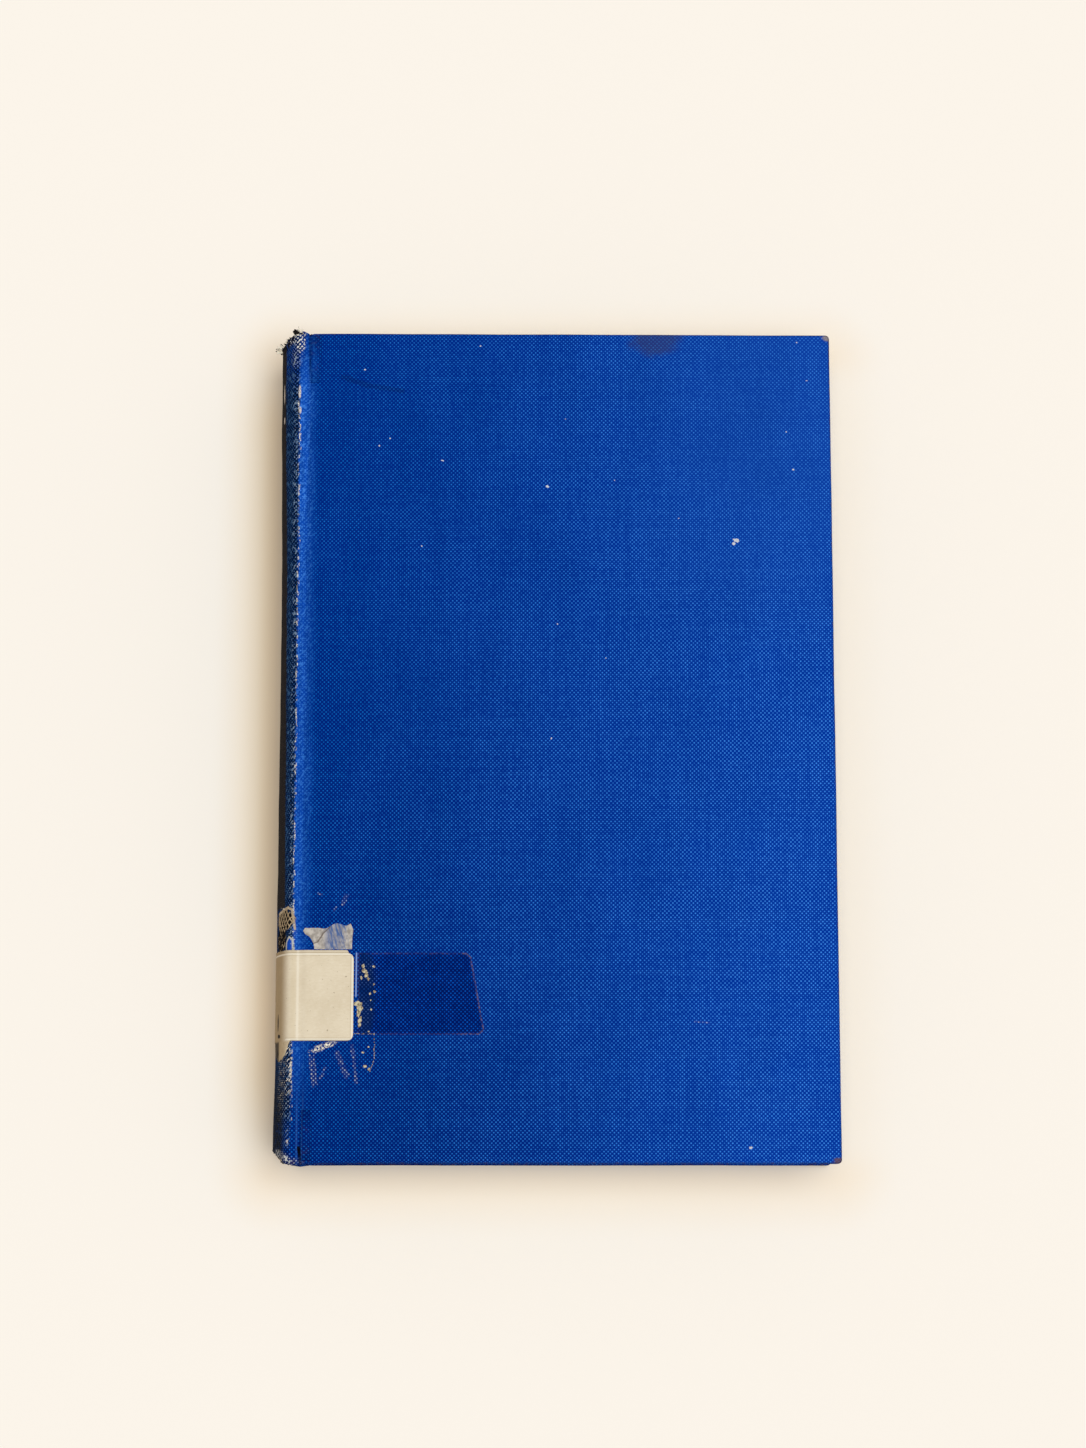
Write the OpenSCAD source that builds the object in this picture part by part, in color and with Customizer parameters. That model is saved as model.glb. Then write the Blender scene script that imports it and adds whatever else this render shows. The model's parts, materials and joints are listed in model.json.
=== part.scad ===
// Hardback book in a cloth case, closed and lying on its back cover.
// X runs from the spine to the fore edge, Y from the tail to the head, and Z up.
// The origin is the middle of the footprint, on the surface that the book lies on.

/* [Covers] */
// Height of the covers, from tail to head
book_h = 192; // [160:1:230]
// Width of each cover, from the joint to the fore edge
cover_w = 121.5; // [95:0.5:150]
// How far the covers reach past the leaves at head, tail and fore edge
square_w = 3; // [2:0.5:5]
// Radius of the covers' corners, seen from above
corner_r = 1; // [0.5:0.1:3]
// Thickness of the boards
board_t = 2.4; // [1.6:0.1:4]
// Thickness of the book cloth
cloth_t = 0.4; // [0.25:0.05:0.6]
// How far the cloth is turned in over the inside of each board
turn_in_w = 15; // [10:1:20]
// Width of the slit between two turn-ins at a mitred corner
mitre_w = 0.3; // [0.2:0.1:1]

/* [Joints] */
// From each hinge line to the cover that swings on it
joint_w = 3; // [2.6:0.1:5]
// Clearance between the cloth of a joint and the cover beside it
joint_clear = 0.3; // [0.2:0.05:0.5]
// How far the cloth of a joint dips below the face of the cover
groove_d = 1; // [0.7:0.1:2.2]
// How much lower than the cover's face the arc of the spine meets the hinge line
ridge_drop = 0.3; // [0:0.1:1]
// Height over which the cloth rolls from the spine over the ridge
ridge_roll = 0.8; // [0.5:0.1:1.2]

/* [Spine] */
// How far the spine bulges past the hinge lines
spine_round = 3.5; // [2.5:0.5:7]
// Thickness of the card inlay in the spine of the case
inlay_t = 0.6; // [0.4:0.1:1]
// Hollow between the spine of the case and the lined back of the leaves
hollow_w = 0.8; // [0.7:0.1:2]
// How far the cloth is turned in over the ends of the spine inlay
spine_turn_in_w = 12; // [8:1:16]
// How much of the spine's end is worn away at the head, along its height
head_wear_h = 1; // [1:0.2:8]
// How far that wear reaches from the middle of the spine toward the covers
head_wear_w = 3; // [1:0.2:6]
// How much of the spine's end is worn away at the tail, along its height
tail_wear_h = 2.6; // [1:0.2:6]
// How far that wear reaches from the middle of the spine toward the covers
tail_wear_w = 3; // [1:0.2:6]

/* [Leaves] */
// Thickness of all the leaves, pressed together
block_t = 19; // [12:1:36]
// How far each backed shoulder stands above the outer leaves
shoulder_h = 1.3; // [0.8:0.1:1.6]
// Thickness of an endpaper
endpaper_t = 0.15; // [0.1:0.05:0.3]
// Thickness of the mull, the open-weave cloth glued to the back of the leaves
mull_t = 0.3; // [0.2:0.05:0.4]
// How far the mull stops short of the leaves at head and tail
mull_short = 14; // [13:1:30]
// Width of the mull that is glued to each board
flange_w = 25; // [15:1:40]
// Thickness of the paper lining over the mull
lining_t = 0.3; // [0.2:0.05:0.5]
// How far the lining stops short of the leaves at head and tail
lining_short = 3; // [1:1:12]

/* [Label] */
// Thickness of the paper label
label_t = 0.15; // [0.1:0.05:0.3]
// Height of the label
label_h = 20.2; // [12:0.2:40]
// Distance of the label from the tail of the covers
label_up = 27.4; // [15:0.2:60]
// How far the label reaches over the front cover
label_reach = 11.8; // [6:0.2:20]
// How far the label reaches past the middle of the spine, along its curve
label_back = 8; // [4:0.5:10]
// Radius of the label's corners on the cover
label_corner_r = 1.4; // [0.5:0.1:3]

/* [Tape and scrap] */
// Thickness of the clear tape
tape_t = 0.08; // [0.06:0.02:0.2]
// Height of the patch of tape
tape_h = 18.5; // [10:0.5:30]
// Distance of the tape from the tail of the covers
tape_up = 28.8; // [15:0.1:60]
// Width of the tape along its upper edge
tape_top_w = 25.4; // [15:0.2:60]
// Width of the tape along its lower edge
tape_bottom_w = 28.6; // [15:0.2:60]
// Gap between the label and the tape
tape_gap = 1; // [0.2:0.1:3]
// Radius of the tape's corners
tape_corner_r = 0.9; // [0.3:0.1:2]
// Thickness of the scrap left from an older label
scrap_t = 0.12; // [0.08:0.02:0.3]
// Width of that scrap
scrap_w = 11.1; // [6:0.1:20]
// Height of that scrap
scrap_h = 5.7; // [3:0.1:12]
// Gap between the scrap and the label below it
scrap_gap = 0.4; // [0.4:0.1:5]

/* [Hidden] */
$fn = 200;

blue_cloth = "#0c4496";
grey_board = "#8d8878";
page_paper = "#e4d6b8";
end_paper = "#e9dfc8";
mull_cloth = "#c9bd9c";
lining_paper = "#b79f74";
label_paper = "#dfd1b7";
tape_film = "#06306f";
scrap_paper = "#a3a3a6";

// Steps that a rounded corner or the curve of a joint is drawn in
corner_steps = 6;
joint_steps = 12;
// Overshoot of a cut past the face that it opens
cut = 1;
// Steps that the arc of a layer with a turned end is drawn in
arc_steps = 30;
// Angle that the cloth of a joint keeps inside the arc of the spine, where it grows out of it
root_a = 1;

// Heights: the book lies level, so each layer is a slab
cover_t = board_t + 2 * cloth_t;
leaves_z = cover_t + 2 * endpaper_t;
book_t = block_t + 2 * leaves_z;
mid_z = book_t / 2;
leaves_top = book_t - leaves_z;
hinge_z = book_t - cover_t / 2;
board_z = book_t - cloth_t - board_t;
turn_in_z = board_z - cloth_t;
groove_z = book_t - groove_d;

// Places along X, from the fore edge back to the middle of the spine
fore_x = (label_t + spine_round + joint_w + cover_w) / 2;
cover_x = fore_x - cover_w;
board_x = cover_x + cloth_t;
hinge_x = cover_x - joint_w;
apex_x = hinge_x - spine_round;
leaf_fore_x = fore_x - square_w;
window_x = fore_x - turn_in_w;

// Places along Y, each as a distance from the middle of the book
cover_y = book_h / 2;
leaf_y = cover_y - square_w;
window_y = cover_y - turn_in_w;
mull_y = leaf_y - mull_short;
lining_y = leaf_y - lining_short;
label_bottom_y = label_up - cover_y;
label_top_y = label_bottom_y + label_h;
tape_bottom_y = tape_up - cover_y;

// All arcs of the spine share one centre line, at spine_x and mid_z
half_chord = mid_z - ridge_drop;
spine_r = (half_chord ^ 2 + spine_round ^ 2) / (2 * spine_round);
spine_x = apex_x + spine_r;
inlay_r = spine_r - cloth_t;
spine_turn_in_r = inlay_r - inlay_t;
lining_r = spine_turn_in_r - hollow_w;
mull_r = lining_r - lining_t;
back_r = mull_r - mull_t;
// Angle from the middle of the spine to where the cloth leaves the arc for the joint
joint_a = asin((half_chord - ridge_roll) / spine_r);
inlay_a = joint_a - 1.5;
label_back_a = label_back / spine_r * 180 / PI;

// Backed shoulder of the leaves: its tip lies on the arc of the back, its foot beside the board
tip = [spine_x - sqrt(back_r ^ 2 - (block_t / 2 + shoulder_h) ^ 2), leaves_top + shoulder_h];
foot = [cover_x - mull_t - 0.2, leaves_top];
tip_a = asin((block_t / 2 + shoulder_h) / back_r);
lining_a = tip_a - 1.5;
// Every leaf is as wide as the next, so the fore edge repeats the arc of the back
fore_arc_x = leaf_fore_x + sqrt(back_r ^ 2 - (block_t / 2) ^ 2);

// Course of the cloth over a joint, from the end of the spine's arc down into the groove
joint_start = on_arc(spine_r, joint_a);
joint_end = [cover_x - joint_clear, groove_z];
joint_reach = joint_end[0] - joint_start[0];
joint_poles = [
    joint_start,
    joint_start + joint_reach / 2 * [sin(joint_a), cos(joint_a)],
    joint_end - 0.42 * joint_reach * [0.8, -0.6],
    joint_end
];

function bezier(p, t) =
    (1 - t) ^ 3 * p[0] + 3 * (1 - t) ^ 2 * t * p[1] + 3 * (1 - t) * t ^ 2 * p[2] + t ^ 3 * p[3];

function bezier_slope(p, t) =
    3 * (1 - t) ^ 2 * (p[1] - p[0]) + 6 * (1 - t) * t * (p[2] - p[1]) + 3 * t ^ 2 * (p[3] - p[2]);

// Points along the joint, moved out of the cloth's outer face by the given distance
function joint_line(out) = [
    for (i = [0:joint_steps])
        let (t = i / joint_steps, d = bezier_slope(joint_poles, t))
            bezier(joint_poles, t) + out * [-d[1], d[0]] / norm(d)
];

// Point on the front half of an arc about the spine's centre
function on_arc(r, a) = [spine_x - r * cos(a), mid_z + r * sin(a)];

// Points of an arc about the spine's centre, from the back half to the front half
function arc_line(r, low_a, high_a) = [
    for (i = [0:arc_steps])
        on_arc(r, low_a + (high_a - low_a) * i / arc_steps)
];

// Radius at which the chords of such an arc stay clear of a round face of radius r
function chord_clear(r, span_a) = r / cos(span_a / arc_steps / 2);

function flipped(p) = [p[0], book_t - p[1]];

function backward(points) = [for (i = [len(points) - 1:-1:0]) points[i]];

// Points of a quarter circle about a centre, starting at the given angle
function corner_arc(centre, r, start) = [
    for (i = [0:corner_steps])
        let (a = start + 90 * i / corner_steps)
            centre + r * [cos(a), sin(a)]
];

// Lays a profile drawn in X and Z along Y, with its middle at the given place
module along_y(length, middle = 0) {
    translate([0, middle, 0])
        rotate([90, 0, 0])
            linear_extrude(length, center = true)
                children();
}

// A slab with four rounded corners, from height low to height high
module slab(x0, x1, y0, y1, r, low, high) {
    translate([0, 0, low])
        linear_extrude(high - low)
            polygon(concat(
                corner_arc([x1 - r, y1 - r], r, 0),
                corner_arc([x0 + r, y1 - r], r, 90),
                corner_arc([x0 + r, y0 + r], r, 180),
                corner_arc([x1 - r, y0 + r], r, 270)
            ));
}

// A slab with square corners, as far to the tail as to the head
module sheet(x0, x1, half_y, low, high) {
    translate([x0, -half_y, low])
        cube([x1 - x0, 2 * half_y, high - low]);
}

// Turns a piece of the front half over into the back half
module turned_over() {
    translate([0, 0, book_t])
        mirror([0, 0, 1])
            children();
}

// The same for a profile
module profile_turned_over() {
    translate([0, book_t])
        mirror([0, 1])
            children();
}

// Profile of a curved layer of the spine, from radius r inward, between two angles
module spine_band(r, thickness, low_a, high_a) {
    translate([spine_x, mid_z])
        intersection() {
            difference() {
                circle(r);
                circle(r - thickness);
            }
            polygon([
                [0, 0],
                2 * r * [-cos(low_a), sin(low_a)],
                2 * r * [-cos(high_a), sin(high_a)]
            ]);
        }
}

// Profile of a layer that follows the cloth over the front joint, between two offsets from it
module joint_band(outer, inner) {
    quarter = (outer - inner) / 4;
    polygon(concat(
        joint_line(outer),
        backward(joint_line(inner)),
        [
            on_arc(spine_r + inner + quarter, joint_a - root_a),
            on_arc(spine_r + outer - quarter, joint_a - root_a)
        ]
    ));
}

// What is worn off the head and tail of the spine, slanting from its middle to the covers
module worn_spine_ends() {
    for (end = [[1, head_wear_h, head_wear_w], [-1, tail_wear_h, tail_wear_w]]) {
        slope = end[1] / end[2];
        translate([apex_x, end[0] * (cover_y - end[1]), -cut])
            linear_extrude(book_t + 2 * cut)
                polygon([
                    [-cut, -end[0] * slope * cut],
                    [end[2] + cut, end[0] * (end[1] + slope * cut)],
                    [-cut, end[0] * (end[1] + slope * cut)]
                ]);
    }
}

// The leaves: rounded back with a shoulder at each side, hollow fore edge
module text_block() {
    lower_tip = [tip[0], book_t - tip[1]];
    lower_foot = [foot[0], book_t - foot[1]];
    color(page_paper)
        along_y(2 * leaf_y)
            difference() {
                union() {
                    translate([foot[0], leaves_z])
                        square([leaf_fore_x - foot[0], block_t]);
                    intersection() {
                        translate([spine_x, mid_z])
                            circle(back_r);
                        polygon([
                            foot, tip, [apex_x, tip[1]],
                            [apex_x, lower_tip[1]], lower_tip, lower_foot
                        ]);
                    }
                }
                translate([fore_arc_x, mid_z])
                    circle(back_r);
            }
}

module flyleaf() {
    color(end_paper)
        sheet(foot[0], leaf_fore_x, leaf_y, leaves_top, leaves_top + endpaper_t);
}

module front_flyleaf() {
    flyleaf();
}

module back_flyleaf() {
    turned_over()
        flyleaf();
}

// The mull follows the back of the leaves, and turns over both shoulders toward the boards
module mull() {
    along = (foot - tip) / norm(foot - tip);
    off_face = mull_t * [-along[1], along[0]];
    end = tip + along * (norm(foot - tip) - 2 * endpaper_t);
    inner_a = tip_a - root_a;
    color(mull_cloth)
        along_y(2 * mull_y)
            polygon(concat(
                [flipped(end), flipped(end + off_face), flipped(tip + off_face)],
                arc_line(mull_r, -tip_a, tip_a),
                [tip + off_face, end + off_face, end, tip],
                backward(arc_line(chord_clear(back_r, 2 * inner_a), -inner_a, inner_a)),
                [flipped(tip)]
            ));
}

module spine_lining() {
    color(lining_paper)
        along_y(2 * lining_y)
            spine_band(lining_r, lining_t, -lining_a, lining_a);
}

module spine_inlay() {
    color(grey_board)
        difference() {
            along_y(2 * (cover_y - cloth_t))
                spine_band(inlay_r, inlay_t, -inlay_a, inlay_a);
            worn_spine_ends();
        }
}

// The case cloth between the covers: the spine, both joints, and what is turned in at head and tail
module spine_cloth() {
    joint_fold_w = square_w - joint_clear;
    color(blue_cloth)
        difference() {
            union() {
                along_y(book_h) {
                    spine_band(spine_r, cloth_t, -joint_a, joint_a);
                    joint_band(0, -cloth_t);
                    profile_turned_over()
                        joint_band(0, -cloth_t);
                }
                for (side = [-1, 1]) {
                    along_y(cloth_t, side * (cover_y - cloth_t / 2))
                        spine_band(spine_r, 2 * cloth_t + inlay_t, -inlay_a, inlay_a);
                    along_y(spine_turn_in_w, side * (cover_y - spine_turn_in_w / 2))
                        spine_band(spine_turn_in_r, cloth_t, -inlay_a, inlay_a);
                    along_y(joint_fold_w, side * (cover_y - joint_fold_w / 2)) {
                        joint_band(0, -2 * cloth_t);
                        profile_turned_over()
                            joint_band(0, -2 * cloth_t);
                    }
                }
            }
            worn_spine_ends();
        }
}

// The label where it is stuck to the spine and over the front joint
module spine_label() {
    high_a = joint_a - root_a;
    round_in = chord_clear(spine_r, high_a + label_back_a);
    color(label_paper)
        along_y(label_h, (label_bottom_y + label_top_y) / 2)
            polygon(concat(
                arc_line(spine_r + label_t, -label_back_a, high_a),
                joint_line(label_t),
                backward(joint_line(0)),
                backward(arc_line(round_in, -label_back_a, high_a))
            ));
}

module cover_board() {
    color(grey_board)
        slab(
            board_x, fore_x - cloth_t, cloth_t - cover_y, cover_y - cloth_t,
            corner_r - cloth_t / 2, board_z, board_z + board_t
        );
}

// Slit along the mitre where two turn-ins meet at a corner of the cover
module mitre(side) {
    inset = corner_r + cloth_t;
    length = sqrt(2) * (turn_in_w - inset) + cut;
    translate([fore_x - inset, side * (cover_y - inset), turn_in_z - cut])
        rotate([0, 0, side > 0 ? 225 : 135])
            translate([0, -mitre_w / 2, 0])
                cube([length, mitre_w, cloth_t + cut]);
}

// The cloth of a cover: outer face, three wrapped edges with their turn-ins, and the lip at the joint
module cover_cloth() {
    color(blue_cloth)
        difference() {
            slab(cover_x, fore_x, -cover_y, cover_y, corner_r, turn_in_z, book_t);
            slab(
                board_x, fore_x - cloth_t, cloth_t - cover_y, cover_y - cloth_t,
                corner_r - cloth_t / 2, board_z, board_z + board_t
            );
            sheet(cover_x - cut, window_x, window_y, turn_in_z - cut, board_z);
            sheet(cover_x - cut, board_x, cover_y + cut, turn_in_z - cut, groove_z - cloth_t);
            mitre(1);
            mitre(-1);
        }
}

// The edge of the mull that is glued to the inside of a board
module cover_mull_flange() {
    color(mull_cloth)
        sheet(board_x, board_x + flange_w, mull_y, board_z - mull_t, board_z);
}

// The pastedown lies on the board and steps over the turn-ins and over the mull
module cover_pastedown() {
    color(end_paper)
        difference() {
            union() {
                sheet(board_x, leaf_fore_x, leaf_y, board_z - endpaper_t, board_z);
                sheet(
                    board_x, board_x + flange_w + endpaper_t, mull_y + endpaper_t,
                    board_z - mull_t - endpaper_t, board_z
                );
                difference() {
                    sheet(board_x, leaf_fore_x, leaf_y, turn_in_z - endpaper_t, board_z);
                    sheet(
                        board_x - cut, window_x - endpaper_t, window_y - endpaper_t,
                        turn_in_z - cut, board_z + cut
                    );
                }
            }
            sheet(board_x - cut, board_x + flange_w, mull_y, board_z - mull_t, board_z + cut);
            difference() {
                sheet(board_x - cut, fore_x, cover_y, turn_in_z, board_z + cut);
                sheet(board_x - 2 * cut, window_x, window_y, turn_in_z - cut, board_z + 2 * cut);
            }
        }
}

module front_board() {
    cover_board();
}

module front_cloth() {
    cover_cloth();
}

module front_mull_flange() {
    cover_mull_flange();
}

module front_pastedown() {
    cover_pastedown();
}

// The label where it is stuck to the front cover
module front_label() {
    label_right = cover_x + label_reach;
    color(label_paper)
        translate([0, 0, book_t])
            linear_extrude(label_t)
                polygon(concat(
                    [[cover_x, label_bottom_y]],
                    corner_arc([label_right - label_corner_r, label_bottom_y + label_corner_r],
                        label_corner_r, 270),
                    corner_arc([label_right - label_corner_r, label_top_y - label_corner_r],
                        label_corner_r, 0),
                    [[cover_x, label_top_y]]
                ));
}

// Old clear tape, its free end cut on a slant
module tape_patch() {
    tape_x = cover_x + label_reach + tape_gap;
    lean = tape_bottom_w - tape_top_w;
    r = tape_corner_r;
    color(tape_film)
        translate([tape_x, tape_bottom_y, book_t])
            linear_extrude(tape_t)
                polygon(concat(
                    [[0, 0]],
                    corner_arc([tape_bottom_w - r - lean * r / tape_h, r], r, 270),
                    corner_arc([tape_top_w - r + lean * r / tape_h, tape_h - r], r, 0),
                    [[0, tape_h]]
                ));
}

// Torn scrap of an older label, given as shares of its width and height
module label_scrap() {
    color(scrap_paper)
        translate([cover_x + 0.2, label_top_y + scrap_gap, book_t])
            linear_extrude(scrap_t)
                scale([scrap_w, scrap_h])
                    polygon([
                        [0, 0.7], [0.16, 0.48], [0.26, 0.04], [0.97, 0],
                        [1, 0.8], [0.89, 0.96], [0.6, 1], [0.48, 0.9], [0.24, 0.86]
                    ]);
}

module back_board() {
    turned_over()
        cover_board();
}

module back_cloth() {
    turned_over()
        cover_cloth();
}

module back_mull_flange() {
    turned_over()
        cover_mull_flange();
}

module back_pastedown() {
    turned_over()
        cover_pastedown();
}

text_block();
front_flyleaf();
back_flyleaf();
mull();
spine_lining();
spine_inlay();
spine_cloth();
spine_label();
front_board();
front_cloth();
front_mull_flange();
front_pastedown();
front_label();
tape_patch();
label_scrap();
back_board();
back_cloth();
back_mull_flange();
back_pastedown();
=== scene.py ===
import json
import math
import random

import bmesh
import bpy
from bpy.props import FloatProperty, FloatVectorProperty, IntProperty, PointerProperty
from mathutils import Matrix, Vector, noise


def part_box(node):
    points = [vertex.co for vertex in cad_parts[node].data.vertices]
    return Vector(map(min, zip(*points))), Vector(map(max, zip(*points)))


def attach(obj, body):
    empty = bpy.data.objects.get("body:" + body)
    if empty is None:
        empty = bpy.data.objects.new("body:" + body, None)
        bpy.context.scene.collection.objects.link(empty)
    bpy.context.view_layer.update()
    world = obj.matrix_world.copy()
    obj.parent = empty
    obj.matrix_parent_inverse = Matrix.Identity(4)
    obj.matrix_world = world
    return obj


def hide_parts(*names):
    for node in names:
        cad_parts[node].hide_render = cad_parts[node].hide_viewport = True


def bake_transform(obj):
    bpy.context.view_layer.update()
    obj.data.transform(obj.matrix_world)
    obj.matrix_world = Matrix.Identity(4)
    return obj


bl_info = {
    "name": "Cloth bound book",
    "version": (1, 0, 0),
    "blender": (4, 5, 0),
    "location": "View3D > Sidebar > Book",
    "description": "Dresses a worn hardback book on its fixed frame",
    "category": "Object",
}

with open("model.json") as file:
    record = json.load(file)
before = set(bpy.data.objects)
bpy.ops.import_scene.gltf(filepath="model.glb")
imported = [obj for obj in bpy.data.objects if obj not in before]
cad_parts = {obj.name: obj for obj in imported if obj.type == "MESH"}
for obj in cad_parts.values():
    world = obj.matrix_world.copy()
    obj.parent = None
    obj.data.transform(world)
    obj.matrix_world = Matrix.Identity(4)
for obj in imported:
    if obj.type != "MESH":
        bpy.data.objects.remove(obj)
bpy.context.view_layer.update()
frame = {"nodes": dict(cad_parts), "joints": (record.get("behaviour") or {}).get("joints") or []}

MM = 0.001
DEG = math.pi / 180
MERGE = 0.5e-6


# Measures taken from the frame


def low(node, axis):
    """The lowest place of a node along an axis, in millimetres."""
    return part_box(node)[0][axis] / MM


def high(node, axis):
    """The highest place of a node along an axis, in millimetres."""
    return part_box(node)[1][axis] / MM


COVER_X = low("front_cloth", 0)
FORE_X = high("front_cloth", 0)
COVER_Y = high("front_cloth", 1)
COVER_Z = high("front_cloth", 2)
INNER_Z = low("front_cloth", 2)
MID_Z = COVER_Z / 2
APEX_X = low("spine_inlay", 0) - 0.4
LEAF_FORE_X = high("text_block", 0)
LEAF_Y = high("text_block", 1)
LEAF_TOP_Z = low("front_flyleaf", 2)


def srgb(red, green, blue):
    """A colour read from 0 to 255 as the linear values that the nodes take."""
    def linear(value):
        value = value / 255
        if value <= 0.04045:
            return value / 12.92
        return ((value + 0.055) / 1.055) ** 2.4
    return (linear(red), linear(green), linear(blue))


def length_setting(name, default, description):
    """A length in millimetres that a user may change."""
    return FloatProperty(name=name, default=default, description=description, precision=2)


def colour_setting(name, default, description):
    """A colour that a user may change."""
    return FloatVectorProperty(
        name=name, default=default, description=description, subtype="COLOR", size=3, min=0, max=1
    )


class BookSizes(bpy.types.PropertyGroup):
    """Sizes of the book's covering and papers, in millimetres."""

    spine_centre: length_setting("Spine centre", -39.134, "Place across the book of the spine arc's centre")
    spine_radius: length_setting("Spine radius", 24.791, "Outer radius of the rounded spine")
    back_radius: length_setting("Back radius", 22.39, "Radius of the rounded back of the leaves")
    joint_angle: FloatProperty(
        name="Joint angle", default=28.7 * DEG, description="Half angle of the spine's arc", subtype="ANGLE"
    )
    joint_drop: length_setting("Joint drop", 0.5, "Depth of the hollow along the joint")
    joint_crease: length_setting("Joint crease", 1.0, "Depth of the crease beside the board at head and tail")
    cloth: length_setting("Cloth", 0.4, "Thickness of the covering cloth")
    inlay: length_setting("Inlay", 0.6, "Thickness of the stiff strip inside the spine")
    edge_round: length_setting("Edge round", 0.45, "Radius of the cloth over the edge of a board")
    corner_round: length_setting("Corner round", 1.0, "Radius of a cover's corners seen from above")
    turn_in: length_setting("Turn-in", 15.0, "Width of cloth turned in over a board")
    spine_turn_in: length_setting("Spine turn-in", 12.0, "Width of cloth turned in at the spine's ends")
    thread: length_setting("Thread", 0.465, "Distance from one thread of the cloth to the next")
    ridge: length_setting("Ridge", 1.9, "Distance of the worn ridge from the cover's edge")
    band: length_setting("Smooth band", 2.2, "Width of smooth cloth on the cover beside the joint")
    leaf_count: IntProperty(name="Leaves", default=124, description="Steps modelled through the leaves")


class BookColours(bpy.types.PropertyGroup):
    """Colours of the book's materials."""

    cloth_dark: colour_setting("Cloth, dark", srgb(2, 52, 136), "Case cloth where it is darkest")
    cloth_light: colour_setting("Cloth, light", srgb(19, 74, 170), "Case cloth where it is lightest")
    # Painted sheen: the bright blue of the smooth joint where its slope faces the light.
    joint_sheen_blue: colour_setting("Joint", srgb(46, 106, 212), "Smooth cloth in the joint")
    spine_field: colour_setting("Spine field", srgb(44, 41, 42), "Dark panel along the middle of the spine")
    spine_navy: colour_setting("Spine edge", srgb(17, 44, 86), "Soiled cloth beside the dark panel")
    label: colour_setting("Label", srgb(226, 212, 186), "Paper of the label")
    # Painted shade on the label's side where it curves round the spine.
    label_side_shade: colour_setting("Label soil", srgb(148, 122, 84), "Old glue and soil on the label")
    tape: colour_setting("Tape", srgb(1, 42, 124), "Patch left beside the label")
    scrap: colour_setting("Scrap", srgb(196, 188, 178), "Torn scrap of paper above the label")
    paper: colour_setting("Paper", srgb(226, 214, 188), "Leaves of the book")
    endpaper: colour_setting("Endpaper", srgb(231, 221, 199), "Endpapers")
    board: colour_setting("Board", srgb(150, 132, 104), "Grey board of the covers")
    mull: colour_setting("Mull", srgb(206, 194, 166), "Open cloth glued over the back of the leaves")
    floor: colour_setting("Floor", srgb(251, 244, 234), "Surface that the book lies on")


# Shader helpers

COLOUR_MIX_INPUTS = (0, 6, 7)
COLOUR_MIX_RESULT = 2


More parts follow.
